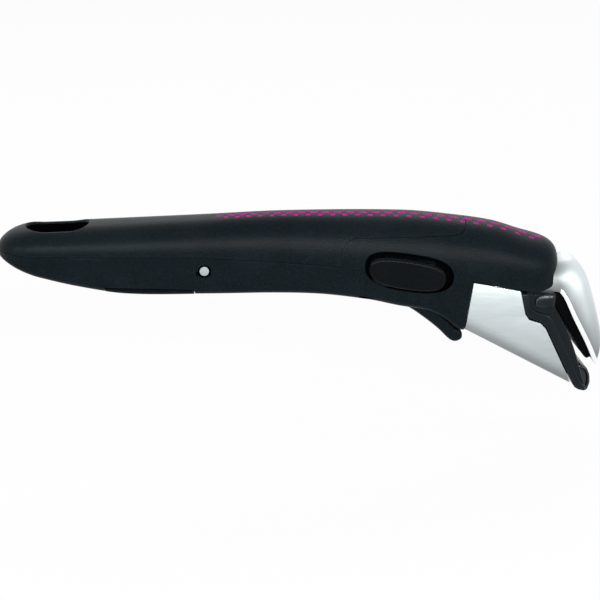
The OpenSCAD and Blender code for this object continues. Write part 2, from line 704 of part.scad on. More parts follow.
module clamp_frame() {
    color(gloss_black) difference() {
        union() {
            across(skirt_w + 0.4, frame_pts);
            across(skirt_w - 2 * skirt_bend + 2, plug_pts);
        }
        across(window_w, [[-30, -3.5], [6, -3.5], [16, -27.5], [-20, -27.5]]);
        translate([-30, -hook_root_w / 2 - 0.8, 8.2]) cube([60, hook_root_w + 1.6, 20]);
        foot_bars(2 * hole_gap, 30);
    }
}
module support_foot() {
    color(gloss_black) difference() {
        across(window_w - 0.4, foot_pts);
        foot_bars(2 * hole_gap, 30);
    }
}
module foot_bars(grow, reach) {
    for (at = foot_pin_at) cross_bar(at[0], at[1], foot_pin_d + grow, -reach, reach);
}
module foot_pins() {
    color(steel) foot_bars(0, skirt_w / 2 - skirt_bend + 0.9);
}

// ---- Buttons ----

module carrier_box(x0, x1, y0, y1, z0, z1) {
    for (s = [-1, 1]) translate([x0, s > 0 ? y0 : -y1, z0]) cube([x1 - x0, y1 - y0, z1 - z0]);
}
// The two plates behind the pockets, also cut as seats into the main shell
module carrier_plates(grow) {
    for (s = [-1, 1]) translate([0, s * (pocket_face - plate_t / 2 - grow), 0])
        across(plate_t + 2 * grow, [[carrier_rear - grow, 12.2 - grow], [button_x - 4, 10.4 - grow],
            [carrier_front + grow, 8.4 - grow], [carrier_front + grow, carrier_top + grow],
            [carrier_rear - grow, carrier_top + grow]]);
}
module button_carrier() {
    rear = carrier_rear;
    front = carrier_front;
    low = lever_seat_z + 5;
    top = carrier_top;
    inner = inner_plate_y;
    color(gloss_black) difference() {
        union() {
            carrier_plates(0);
            carrier_box(rear, front, inner, inner + inner_plate_t, low, top);
            carrier_box(rear, rear + carrier_wall, inner, pocket_face, low, top);
            carrier_box(front - carrier_wall, front, inner, pocket_face, low, top);
            translate([rear, -pocket_face, top - 1.3]) cube([6.5, 2 * pocket_face, 1.3]);
        }
        for (s = [-1, 1]) button_bar(s, side_gap, pocket_face - plate_t - 1, big);
        cross_bar(button_x, button_z, plunger_d + 2 * side_gap, -inner - 3, inner + 3);
    }
}
module round_button(side) {
    face = head_w / 2 + button_proud;
    edge = button_edge;
    color(gloss_black) {
        button_bar(side, 0, pocket_face - plate_t - 0.3, face - edge);
        button_bar(side, flange_lip, pocket_face - plate_t - 0.2 - flange_t, pocket_face - plate_t - 0.2);
        translate([button_x, side * (face - edge), button_z]) rotate([0, button_tilt, 0])
                rotate([-side * 90, 0, 0]) {
            base = button_h / 2 - 0.01;
            for (s = [-1, 1]) translate([s * (button_len - button_h) / 2, 0, -0.2])
                cylinder(h = edge + 0.2, r1 = base + 0.2, r2 = base - edge, $fn = 64);
            rotate([90, 0, 90]) linear_extrude(button_len - button_h, center = true)
                polygon([[-base - 0.2, -0.2], [base + 0.2, -0.2], [base - edge, edge], [edge - base, edge]]);
        }
        translate([button_x, 0, button_z]) rotate([-side * 90, 0, 0]) translate([0, 0, plunger_tip])
            cylinder(h = pocket_face - plate_t - 1 - plunger_tip, d = plunger_d, $fn = 48);
    }
}
module right_button() {
    round_button(-1);
}
module left_button() {
    round_button(1);
}
module button_spring(side) {
    start = inner_plate_y + inner_plate_t + 0.1;
    color(steel) translate([button_x, side * start, button_z]) rotate([-side * 90, 0, 0])
        coil_spring(3, plunger_d / 2 + spring_room, spring_wire, pocket_face - plate_t - flange_t - 0.3 - start);
}
module right_button_spring() {
    button_spring(-1);
}
module left_button_spring() {
    button_spring(1);
}

upper_shell();
main_shell();
rear_base_plate();
shell_screws();
lever();
lever_crank();
crank_rivets();
latch_fork();
fork_rivet();
lever_pivot_pin();
crank_pin();
lever_spring();
drawbar();
drawbar_guide();
rim_hook();
hook_core();
hook_rivets();
front_skirt();
head_bracket();
bracket_screws();
clamp_frame();
support_foot();
foot_pins();
button_carrier();
right_button();
left_button();
right_button_spring();
left_button_spring();
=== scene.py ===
import json
import logging
import math
from dataclasses import dataclass, field
from enum import Enum
from typing import Callable, Sequence

import bpy
import numpy as np
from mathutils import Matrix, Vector


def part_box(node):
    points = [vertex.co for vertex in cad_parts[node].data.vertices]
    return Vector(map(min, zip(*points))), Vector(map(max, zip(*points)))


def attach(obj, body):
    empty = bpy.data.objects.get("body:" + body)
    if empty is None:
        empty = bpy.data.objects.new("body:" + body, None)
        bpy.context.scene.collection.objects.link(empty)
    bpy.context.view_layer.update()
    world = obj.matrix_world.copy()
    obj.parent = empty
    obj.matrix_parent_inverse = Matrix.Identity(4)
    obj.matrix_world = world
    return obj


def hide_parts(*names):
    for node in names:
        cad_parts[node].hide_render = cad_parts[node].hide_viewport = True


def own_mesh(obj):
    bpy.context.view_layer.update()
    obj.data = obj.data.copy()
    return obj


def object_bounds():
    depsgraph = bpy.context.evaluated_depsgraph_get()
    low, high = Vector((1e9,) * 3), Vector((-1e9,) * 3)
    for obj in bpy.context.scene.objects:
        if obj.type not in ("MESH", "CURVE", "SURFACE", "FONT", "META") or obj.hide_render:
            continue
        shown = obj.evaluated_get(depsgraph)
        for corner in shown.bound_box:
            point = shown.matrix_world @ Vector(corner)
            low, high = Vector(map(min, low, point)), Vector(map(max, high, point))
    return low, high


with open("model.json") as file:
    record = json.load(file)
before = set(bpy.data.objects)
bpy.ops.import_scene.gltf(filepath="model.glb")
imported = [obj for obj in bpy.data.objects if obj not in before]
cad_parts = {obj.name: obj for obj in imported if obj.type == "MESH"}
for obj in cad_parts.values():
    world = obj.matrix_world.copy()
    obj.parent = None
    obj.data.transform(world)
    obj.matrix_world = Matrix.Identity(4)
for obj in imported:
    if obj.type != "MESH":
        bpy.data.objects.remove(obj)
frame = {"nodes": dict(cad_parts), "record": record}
CAD_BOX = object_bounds()

Piece = bpy.types.Object
Tree = bpy.types.NodeTree
Socket = bpy.types.NodeSocket
Point2 = tuple[float, float]
Point3 = tuple[float, float, float]
Ring = list[Point3]

MM = 0.001
PIVOT: Point2 = (-139.8, 21.3)  # the lever's axis, as x and z
ACROSS = (-40.0, 40.0)  # the reach along Y of a cutter that passes through both sides

logging.basicConfig(level=logging.INFO, format="%(message)s")
log = logging.getLogger("pan_handle")


class Axis(Enum):
    """The direction that a prism runs in."""

    X = 0
    Y = 1
    Z = 2


class Side(Enum):
    """The two sides of the handle, seen facing the pan."""

    RIGHT = -1
    LEFT = 1

    @property
    def word(self) -> str:
        """The side's name in small letters."""
        return self.name.lower()

    def reach(self, near: float, far: float) -> list[float]:
        """Two distances from the middle plane, as the low and the high end of a prism on this side."""
        return sorted((self.value * near, self.value * far))


class Cut(Enum):
    """How one solid is combined with another."""

    TAKE_AWAY = "DIFFERENCE"
    KEEP_COMMON = "INTERSECT"
    JOIN = "UNION"


# ---- Bench tools: selection, edit mode, primitives ----


def only(*objs: Piece) -> None:
    """Selects just these objects and makes the first one active.

    Args:
        objs: the objects to select.
    """
    if bpy.context.object and bpy.context.object.mode != "OBJECT":
        bpy.ops.object.mode_set(mode="OBJECT")
    bpy.ops.object.select_all(action="DESELECT")
    for obj in objs:
        obj.select_set(True)
    bpy.context.view_layer.objects.active = objs[0]


def edit(obj: Piece, steps: Callable[[], None], mode: str = "VERT") -> None:
    """Runs edit-mode operators on one object with everything selected.

    Args:
        obj: the object to edit.
        steps: the operators, called inside edit mode.
        mode: the select mode, VERT, EDGE or FACE.
    """
    only(obj)
    bpy.ops.object.mode_set(mode="EDIT")
    bpy.ops.mesh.select_mode(type=mode)
    bpy.ops.mesh.select_all(action="SELECT")
    steps()
    bpy.ops.object.mode_set(mode="OBJECT")


def place(obj: Piece, points: Sequence[Point3]) -> None:
    """Puts an object's vertices at these places, given in millimetres.

    Args:
        obj: the object whose mesh is shaped.
        points: one place for each vertex, in order.
    """
    flat = (np.array(points, dtype=np.float64) * MM).astype(np.float32).ravel()
    obj.data.vertices.foreach_set("co", flat)
    obj.data.update()


def tidy_faces(obj: Piece, gap: float = 1e-6) -> None:
    """Merges doubled vertices and turns all faces outward.

    Args:
        obj: the object.
        gap: the distance in metres up to which vertices are one.
    """

    def steps() -> None:
        """Merges the vertices and turns the faces."""
        bpy.ops.mesh.remove_doubles(threshold=gap)
        bpy.ops.mesh.normals_make_consistent(inside=False)

    edit(obj, steps)


def skin(name: str, rings: Sequence[Ring]) -> Piece:
    """Makes a closed solid through a row of rings that all have the same number of points.

    Args:
        name: the object's name.
        rings: the rings, in millimetres, each without a repeated last point.

    Returns:
        The new object, with both ends filled.
    """
    rows, cols = len(rings), len(rings[0])
    bpy.ops.object.select_all(action="DESELECT")
    bpy.ops.mesh.primitive_grid_add(x_subdivisions=cols, y_subdivisions=rows - 1, size=0.1)
    obj = bpy.context.object
    obj.name = obj.data.name = name
    place(obj, [p for ring in rings for p in [*ring, ring[0]]])

    def steps() -> None:
        """Closes the tube along its length and fills both ends."""
        bpy.ops.mesh.remove_doubles(threshold=1e-7)
        bpy.ops.mesh.select_all(action="DESELECT")
        bpy.ops.mesh.select_non_manifold(extend=False, use_wire=False, use_multi_face=False,
                                         use_non_contiguous=False, use_verts=False)
        bpy.ops.mesh.edge_face_add()
        bpy.ops.mesh.select_all(action="SELECT")
        bpy.ops.mesh.normals_make_consistent(inside=False)

    edit(obj, steps, "EDGE")
    return obj


def prism(name: str, outline: Sequence[Point2], axis: Axis, low: float, high: float) -> Piece:
    """Makes a straight prism from an outline.

    Args:
        name: the object's name.
        outline: its corners. They are (y, z) for a prism along X, (x, z) along Y and (x, y) along Z.
        axis: the direction that it runs in.
        low: where it starts on that axis.
        high: where it ends.

    Returns:
        The new object.
    """
    bpy.ops.object.select_all(action="DESELECT")
    bpy.ops.mesh.primitive_circle_add(vertices=len(outline), radius=0.1, fill_type="NGON")
    obj = bpy.context.object
    obj.name = obj.data.name = name

    def at(p: Point2, t: float) -> Point3:
        """The corner p at t along the axis."""
        return {Axis.X: (t, p[0], p[1]), Axis.Y: (p[0], t, p[1]), Axis.Z: (p[0], p[1], t)}[axis]

    place(obj, [at(p, low) for p in outline])
    run = [0.0, 0.0, 0.0]
    run[axis.value] = (high - low) * MM

    def steps() -> None:
        """Draws the outline out to its full length."""
        bpy.ops.mesh.extrude_region_move(TRANSFORM_OT_translate={"value": run})
        bpy.ops.mesh.select_all(action="SELECT")
        bpy.ops.mesh.normals_make_consistent(inside=False)

    edit(obj, steps, "FACE")
    return obj


def combine(obj: Piece, tool: Piece, how: Cut = Cut.TAKE_AWAY, keep: bool = False) -> None:
    """Combines a solid with another one.

    Args:
        obj: the solid that is changed.
        tool: the other solid, thrown away afterwards unless keep is set.
        how: whether the tool is cut away, joined on, or only the common part is kept.
        keep: whether the tool is used again.
    """
    modify(obj, "BOOLEAN", operation=how.value, object=tool, solver="MANIFOLD")
    if not obj.data.polygons:
        raise RuntimeError(f"{obj.name}: nothing left after {tool.name}")
    if not keep:
        discard(tool)


def discard(obj: Piece) -> None:
    """Deletes a helper solid and its mesh.

    Args:
        obj: the helper.
    """
    mesh = obj.data
    bpy.data.objects.remove(obj)
    bpy.data.meshes.remove(mesh)


def modify(obj: Piece, kind: str, **settings: object) -> None:
    """Adds a modifier with these settings and applies it.

    Args:
        obj: the object.
        kind: the modifier's type.
        settings: its settings by name.
    """
    only(obj)
    bpy.ops.object.modifier_add(type=kind)
    mod = obj.modifiers[-1]
    for key, value in settings.items():
        setattr(mod, key, value)
    bpy.ops.object.modifier_apply(modifier=mod.name)


def round_edges(obj: Piece, width: float, steps: int = 3, over: float = 35) -> None:
    """Rounds every edge that is sharper than an angle.

    Args:
        obj: the object.
        width: the width of the rounding in millimetres.
        steps: how many faces the rounding has.
        over: the smallest angle between two faces that is rounded, in degrees.
    """
    modify(obj, "BEVEL", width=width * MM, segments=steps, limit_method="ANGLE",
           angle_limit=math.radians(over), use_clamp_overlap=True, harden_normals=False)


def smooth(obj: Piece, under: float = 35) -> None:
    """Shades an object smooth where its faces meet at less than an angle in degrees."""
    only(obj)
    bpy.ops.object.shade_smooth_by_angle(angle=math.radians(under))


def copy_of_node(node: str, name: str, flat: float = 4) -> Piece:
    """Copies a CAD node and merges its loose triangles into clean faces.

    Args:
        node: the CAD node's name.
        name: the new object's name.
        flat: faces that meet at less than this angle, in degrees, become one face.

    Returns:
        The new object.
    """
    mesh = frame["nodes"][node].data.copy()
    obj = bpy.data.objects.new(name, mesh)
    bpy.context.scene.collection.objects.link(obj)
    mesh.materials.clear()
    mesh.name = name

    def steps() -> None:
        """Joins the triangles and lets the flat ones become one face."""
        bpy.ops.mesh.customdata_custom_splitnormals_clear()
        bpy.ops.mesh.remove_doubles(threshold=2e-6)
        bpy.ops.mesh.dissolve_limited(angle_limit=math.radians(flat), delimit=set())

    edit(obj, steps)
    return obj


def tuck(obj: Piece) -> None:
    """Keeps a piece inside the CAD model's box, which finer curves could pass by some hundredths of a mm.

    Args:
        obj: the piece.
    """
    low, high = (np.array(corner, np.float32) for corner in CAD_BOX)
    co = np.zeros(len(obj.data.vertices) * 3, np.float32)
    obj.data.vertices.foreach_get("co", co)
    obj.data.vertices.foreach_set("co", np.clip(co.reshape(-1, 3), low, high).ravel())
    obj.data.update()


def between(a: np.ndarray, b: np.ndarray, c: np.ndarray, d: np.ndarray, t: float) -> np.ndarray:
    """A place on the smooth curve through four points, from b at t = 0 to c at t = 1."""
    square, cube = 2 * a - 5 * b + 4 * c - d, 3 * b - a - 3 * c + d
    return 0.5 * (2 * b + (c - a) * t + square * t * t + cube * t ** 3)


def round_outline(knots: Sequence[Point2], per_side: int = 5) -> list[Point2]:
    """Runs a smooth closed curve through the knots.

    Args:
        knots: the points that the curve passes through.
        per_side: how many points are made from one knot to the next.

    Returns:
        The curve's points.
    """
    n = len(knots)
    out: list[Point2] = []
    for i in range(n):
        near = [np.array(knots[(i + k) % n], float) for k in (-1, 0, 1, 2)]
        for j in range(per_side):
            x, y = between(*near, j / per_side)
            out.append((float(x), float(y)))
    return out


def grown(outline: Sequence[Point2], by: float) -> list[Point2]:
    """Moves a closed outline outward or inward.

    Args:
        outline: its points.
        by: the distance that they move outward, or inward if it is negative.

    Returns:
        The moved points.
    """
    pts = np.array(outline, float)
    along = np.roll(pts, -1, axis=0) - np.roll(pts, 1, axis=0)
    out = np.stack([along[:, 1], -along[:, 0]], axis=1)
    out /= np.linalg.norm(out, axis=1)[:, None]
    area = 0.5 * np.sum(pts[:, 0] * np.roll(pts[:, 1], -1) - np.roll(pts[:, 0], -1) * pts[:, 1])
    moved = pts + out * (by if area > 0 else -by)
    return [(float(a), float(b)) for a, b in moved]


def obround(length: float, width: float, centre: Point2, tilt: float = 0, steps: int = 16) -> list[Point2]:
    """The outline of a bar with round ends.

    Args:
        length: its whole length.
        width: its width.
        centre: where its middle is.
        tilt: how far it is turned clockwise, in degrees.
        steps: how many points each round end has.

    Returns:
        The outline's points, counterclockwise.
    """
    r, h = width / 2, (length - width) / 2
    c, s = math.cos(math.radians(-tilt)), math.sin(math.radians(-tilt))
    out: list[Point2] = []
    for end, start in ((h, -90), (-h, 90)):
        for k in range(steps + 1):
            a = math.radians(start + 180 * k / steps)
            x, y = end + r * math.cos(a), r * math.sin(a)
            out.append((centre[0] + x * c - y * s, centre[1] + x * s + y * c))
    return out


def circle(radius: float, centre: Point2, steps: int) -> list[Point2]:
    """The outline of a circle with this many corners."""
    turn = [2 * math.pi * k / steps for k in range(steps)]
    return [(centre[0] + radius * math.cos(a), centre[1] + radius * math.sin(a)) for a in turn]


def oblong(low: Point2, high: Point2) -> list[Point2]:
    """The outline of a rectangle between its lowest and its highest corner."""
    return [low, (high[0], low[1]), high, (low[0], high[1])]


def fuller(v: float, power: float) -> float:
    """A sine or cosine for a curve that is fuller than an ellipse. A power of 2 leaves it as it is."""
    return math.copysign(abs(v) ** (2 / power), v)


def catmull(rows: np.ndarray, per_row: int) -> np.ndarray:
    """Runs a smooth open curve through rows of numbers.

    Args:
        rows: the rows that it passes through.
        per_row: how many rows are made from one row to the next.

    Returns:
        The finer rows, first and last included.
    """
    out = []
    last = len(rows) - 1
    for i in range(last):
        a, b, c, d = rows[max(0, i - 1)], rows[i], rows[i + 1], rows[min(last, i + 2)]
        out += [between(a, b, c, d, j / per_row) for j in range(per_row)]
    out.append(rows[last])
    return np.array(out)


def stand_for(obj: Piece, node: str, body: str) -> Piece:
    """Makes a piece ride with a body and stand for a CAD node.

    Args:
        obj: the finished piece.
        node: the CAD node that it stands for.
        body: the body that it moves with.

    Returns:
        The piece.
    """
    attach(obj, body)
    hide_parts(node)
    log.info("%s stands for %s: %d faces", obj.name, node, len(obj.data.polygons))
    return obj


# ---- Finishes ----

SPECKLE = 0.6  # the speckle's share of the colour's pattern, and its scale against the grain
PATCHES = 0.4  # the patches' share of the colour's pattern
COLOUR_SPAN = (0.36, 0.64)  # the part of the pattern over which dark turns light
ROUGH_SPAN = (0.35, 0.65)  # the part of the speckle over which smooth turns rough
EDGE_SPAN = (0.52, 0.62)  # the pointiness over which an edge gets its painted highlight
HIGHLIGHT_GAIN = (3.0, 0.014)  # the colour of an edge with its painted highlight is the light one times the first plus the second


def scaled(tree: Tree, value: Socket, factor: float, plus: Socket | None = None) -> Socket:
    """Adds a node that multiplies a number, and may add another one.

    Args:
        tree: the nodes that it is added to.
        value: the number.
        factor: what it is multiplied by.
        plus: the number that is added, if any.

    Returns:
        The result.
    """
    node = tree.nodes.new("ShaderNodeMath")
    node.operation = "MULTIPLY_ADD" if plus else "MULTIPLY"
    node.inputs[1].default_value = factor
    tree.links.new(value, node.inputs[0])
    if plus:
        tree.links.new(plus, node.inputs[2])
    return node.outputs[0]


def mixed(tree: Tree, factor: Socket, first: Socket, second: Socket, target: Socket) -> None:
    """Adds a node that mixes two shaders, and links it.

    Args:
        tree: the nodes that it is added to.
        factor: the share of the second shader.
        first: the first shader.
        second: the second shader.
        target: the socket that takes the mixture.
    """
    node = tree.nodes.new("ShaderNodeMixShader")
    for source, into in zip((factor, first, second), node.inputs):
        tree.links.new(source, into)
    tree.links.new(node.outputs[0], target)


@dataclass(frozen=True)
class Finish:
    """A surface finish. The colours are scene-linear.

    Attributes:
        name: the material's name.
        slot: the record's material slot.
        dark: the colour in its darker patches.
        light: the colour in its lighter patches.
        rough: the lowest and highest roughness.
        metallic: 1 for bare metal, 0 otherwise.
        gloss: the specular level.
        patch: how many colour patches there are along a metre.
        grain: how many bumps of the surface grain there are along a metre.
        stretch: how far the grain is drawn out along X, Y and Z. A brushed metal has small numbers along its
            brushing.
        bump: the strength of the grain's bumps.
        depth: the height of the bumps in metres.
        edge_highlight: how much lighter the outward edges are painted, as a painted highlight.
        shade_fades: painted shade, as gradual darkenings, each a direction in X and Z, where along it the
            fade
        starts and ends in metres, and how much of the colour is left at the start.
    """

    name: str
    slot: str
    dark: Point3
    light: Point3
    rough: Point2
    metallic: float = 0.0
    gloss: float = 0.5
    patch: float = 40.0
    grain: float = 2400.0
    stretch: Point3 = (1.0, 1.0, 1.0)
    bump: float = 0.2
    depth: float = 0.00005
    edge_highlight: float = 0.0
    shade_fades: tuple[tuple[float, float, float, float, float], ...] = ()

    def make(self) -> bpy.types.Material:
        """Builds the material, or gives the one already built.

        Returns:
            The material.
        """
        label = f"{self.name}_finish"
        old = bpy.data.materials.get(label)
        if old:
            return old
        mat = bpy.data.materials.new(label)
        mat.use_nodes = True
        mat.diffuse_color = (*self.light, 1)
        tree = mat.node_tree
        link = tree.links.new
        shader = tree.nodes["Principled BSDF"]
        shader.inputs["Metallic"].default_value = self.metallic
        shader.inputs["Specular IOR Level"].default_value = self.gloss
        plain = tree.nodes.new("ShaderNodeTexCoord").outputs["Object"]
        mapping = tree.nodes.new("ShaderNodeMapping")
        mapping.inputs["Scale"].default_value = self.stretch
        link(plain, mapping.inputs["Vector"])
        drawn = mapping.outputs["Vector"]
        grain = self._noise(tree, drawn, self.grain, 3)
        patches = self._noise(tree, plain, self.patch, 4)
        speckle = self._noise(tree, drawn, self.grain * SPECKLE, 2)
        link(self._colour(tree, plain, speckle, patches), shader.inputs["Base Color"])
        link(self._spread(tree, speckle, ROUGH_SPAN, *self.rough), shader.inputs["Roughness"])
        bump = tree.nodes.new("ShaderNodeBump")
        bump.inputs["Strength"].default_value = self.bump
        bump.inputs["Distance"].default_value = self.depth
        link(grain, bump.inputs["Height"])
        link(bump.outputs["Normal"], shader.inputs["Normal"])
        return mat

    def _colour(self, tree: Tree, plain: Socket, speckle: Socket, patches: Socket) -> Socket:
        """Adds the colour: dark to light by speckle and patches, then with painted shade and painted edge
        highlights.

        Args:
            tree: the material's nodes.
            plain: the place on the object.
            speckle: the fine noise.
            patches: the coarse noise.

        Returns:
            The colour.
        """
        colour = tree.nodes.new("ShaderNodeMix")
        colour.data_type = "RGBA"
        colour.inputs["A"].default_value = (*self.dark, 1)
        colour.inputs["B"].default_value = (*self.light, 1)
        pattern = scaled(tree, speckle, SPECKLE, scaled(tree, patches, PATCHES))
        tree.links.new(self._spread(tree, pattern, COLOUR_SPAN, 0, 1), colour.inputs["Factor"])
        shown = colour.outputs["Result"]
        # Painted shade, darker toward one side of the piece.
        for fade in self.shade_fades:
            shown = self._painted_shade(tree, plain, shown, *fade)
        # Painted highlight along outward edges.
        return self._painted_edge_highlight(tree, shown) if self.edge_highlight else shown

    def _noise(self, tree: Tree, vector: Socket, scale: float, detail: float) -> Socket:
        """Adds a noise pattern.

        Args:
            tree: the material's nodes.
            vector: the place that it is read at.
            scale: how fine it is.
            detail: how many finer octaves it has.

        Returns:
            The noise, about 0.5 on average.
        """
        node = tree.nodes.new("ShaderNodeTexNoise")
        node.inputs["Scale"].default_value = scale
        node.inputs["Detail"].default_value = detail
        tree.links.new(vector, node.inputs["Vector"])
        return node.outputs["Fac"]

    def _spread(self, tree: Tree, value: Socket, span: Point2, low: float, high: float) -> Socket:
        """Adds a node that maps one span of numbers to another one.

        Args:
            tree: the material's nodes.
            value: the number that comes in.
            span: the numbers over which the result changes.
            low: the result at the span's start.
            high: the result at its end.

        Returns:
            The result.
        """
        node = tree.nodes.new("ShaderNodeMapRange")
        for key, number in zip(("From Min", "From Max", "To Min", "To Max"), (*span, low, high)):
            node.inputs[key].default_value = number
        tree.links.new(value, node.inputs["Value"])
        return node.outputs[0]

    def _painted_shade(self, tree: Tree, plain: Socket, base: Socket,
               x: float, z: float, start: float, end: float, left: float) -> Socket:
        """Paints shade: darkens the colour toward one side of the piece.

        Args:
            tree: the material's nodes.
            plain: the place on the object.
            base: the colour.
            x: the fade's direction along X.
            z: its direction along Z.
            start: where along it the colour is darkest, in metres.
            end: where it is full.
            left: how much of the colour is left at the start.

        Returns:
            The colour with its painted shade.
        """
        along = tree.nodes.new("ShaderNodeVectorMath")
        along.operation = "DOT_PRODUCT"
        along.inputs[1].default_value = (x, 0, z)
        tree.links.new(plain, along.inputs[0])
        mix = tree.nodes.new("ShaderNodeVectorMath")
        mix.operation = "SCALE"
        tree.links.new(base, mix.inputs[0])
        tree.links.new(self._spread(tree, along.outputs["Value"], (start, end), left, 1), mix.inputs["Scale"])
        return mix.outputs["Vector"]

    def _painted_edge_highlight(self, tree: Tree, base: Socket) -> Socket:
        """Paints a highlight: lightens the colour along outward edges.

        Args:
            tree: the material's nodes.
            base: the colour.

        Returns:
            The colour with its painted edge highlights.
        """
        gain, lift = HIGHLIGHT_GAIN
        pointed = tree.nodes.new("ShaderNodeNewGeometry").outputs["Pointiness"]
        mix = tree.nodes.new("ShaderNodeMix")
        mix.data_type = "RGBA"
        mix.inputs["B"].default_value = tuple(min(1.0, gain * c + lift) for c in self.light) + (1,)
        tree.links.new(base, mix.inputs["A"])
        tree.links.new(self._spread(tree, pointed, EDGE_SPAN, 0, self.edge_highlight), mix.inputs["Factor"])
        return mix.outputs["Result"]

    def dress(self, obj: Piece) -> None:
        """Gives a new piece this finish all over."""
        obj.data.materials.clear()
        obj.data.materials.append(self.make())

    def also_on(self, obj: Piece, where: Callable[[Vector], bool]) -> None:
        """Gives this finish to some faces of a piece.

        Args:
            obj: the piece.
            where: the test that a face's middle, in millimetres, has to pass.
        """
        obj.data.materials.append(self.make())
        index = len(obj.data.materials) - 1
        for face in obj.data.polygons:
            if where(face.center / MM):
                face.material_index = index

    def repaint(self, node: str) -> None:
        """Gives a shown CAD node this finish."""
        for slot in frame["nodes"][node].material_slots:
            slot.material = self.make()


# The edge lightening in the finishes below is a painted highlight along outward edges.
GRIP_BLACK = Finish(
    "grained_grip", "grip_black", (0.0012, 0.0036, 0.0054), (0.0040, 0.0084, 0.0112), (0.31, 0.41),
    gloss=0.07, patch=60, grain=2100, bump=0.95, depth=0.0001, edge_highlight=0.2)
# A darker copy of the grip's black for the cover plate: painted shade under the grip.
COVER_SHADE_BLACK = Finish(
    "cover_painted_shade", "grip_black", (0.0010, 0.0018, 0.0024), (0.0020, 0.0034, 0.0044), (0.42, 0.55),
    gloss=0.05, patch=80, grain=2300, bump=0.4, edge_highlight=0.15)
# Painted shade: a near-black matte for the walls of the pockets and the hanging hole and round the pin's
# bore.
RECESS_SHADE = Finish(
    "painted_recess_shade", "grip_black", (0.0004, 0.0005, 0.0007), (0.0009, 0.0012, 0.0015), (0.6, 0.7),
    gloss=0.0, patch=60, grain=2300, bump=0.3)
BUTTON_BLACK = Finish(
    "button_moulding", "gloss_black", (0.0006, 0.0016, 0.0022), (0.0014, 0.0028, 0.0036), (0.24, 0.33),
    gloss=0.075, patch=90, grain=2800, bump=0.25, depth=0.00004, edge_highlight=0.6)
FRAME_BLACK = Finish(
    "frame_moulding", "gloss_black", (0.0012, 0.0040, 0.0060), (0.0024, 0.0062, 0.0088), (0.13, 0.20),
    gloss=0.16, patch=90, grain=1500, bump=0.12, depth=0.00004, edge_highlight=1.0)
# A lighter copy of the frame's gloss black for the foot: painted light.
FOOT_LIT_BLACK = Finish(
    "foot_painted_light", "gloss_black", (0.0050, 0.0096, 0.0120), (0.0080, 0.0134, 0.0162), (0.14, 0.22),
    gloss=0.4, patch=90, grain=1500, bump=0.08, depth=0.00004, edge_highlight=0.5)
PAD_BLACK = Finish(
    "pad_moulding", "gloss_black", (0.0006, 0.0008, 0.0010), (0.0014, 0.0018, 0.0022), (0.4, 0.55),
    gloss=0.03, patch=90, grain=2200, bump=0.2)
GUIDE_BLACK = Finish(
    "guide_moulding", "guide_black", (0.0006, 0.0008, 0.0010), (0.0016, 0.0020, 0.0024), (0.5, 0.6),
    gloss=0.01, patch=120, grain=1800, bump=0.2)
# The skirt's steel, with painted shade darkening it toward its lower edge.
SATIN_STEEL = Finish(
    "satin_sheet", "satin_stainless", (0.565, 0.620, 0.637), (0.590, 0.644, 0.660), (0.31, 0.37),
    metallic=1, patch=18, grain=4200, stretch=(0.05, 1, 1), bump=0.03, depth=0.00002,
    shade_fades=((0.484, 0.875, -0.0228, -0.0165, 0.5), (0.0, 1.0, -0.026, 0.004, 0.68)))
# The hook's steel, with painted shade darkening it toward its rear, next to the head.
HOOK_STEEL = Finish(
    "pressed_sheet", "satin_stainless", (0.68, 0.735, 0.75), (0.715, 0.77, 0.785), (0.46, 0.54),
    metallic=1, patch=22, grain=4200, stretch=(1, 0.05, 1), bump=0.03, depth=0.00002,
    shade_fades=((0.89, 0.46, 0.0064, 0.0160, 0.3),))
# A lighter copy of the stainless steel for the hook's and the skirt's edges: a painted highlight.
EDGE_HIGHLIGHT_STEEL = Finish(
    "edge_highlight_steel", "satin_stainless", (0.93, 0.94, 0.945), (0.97, 0.975, 0.98), (0.18, 0.26),
    metallic=1, patch=60, grain=3500, bump=0.05, depth=0.00002)
PIN_STEEL = Finish(
    "turned_steel", "pin_steel", (0.40, 0.47, 0.49), (0.52, 0.59, 0.61), (0.22, 0.34),
    metallic=1, patch=300, grain=4200, bump=0.12, depth=0.00003)
ZINC_STEEL = Finish(
    "plated_steel", "zinc_steel", (0.42, 0.44, 0.46), (0.58, 0.60, 0.60), (0.3, 0.46),
    metallic=1, patch=130, grain=2600, bump=0.04, depth=0.00001)
SPRING_STEEL = Finish(
    "drawn_wire", "spring_steel", (0.36, 0.37, 0.39), (0.50, 0.51, 0.53), (0.25, 0.4),
    metallic=1, patch=400, grain=4000, bump=0.04, depth=0.00001)
PRINT_MAGENTA = Finish(
    "magenta_print", "grip_black", (0.42, 0.0005, 0.24), (0.53, 0.0012, 0.31), (0.36, 0.46),
    gloss=0.01, patch=300, grain=2300, bump=0.8, depth=0.0001)


# ---- The body's form, shared by all the pieces cut from it ----


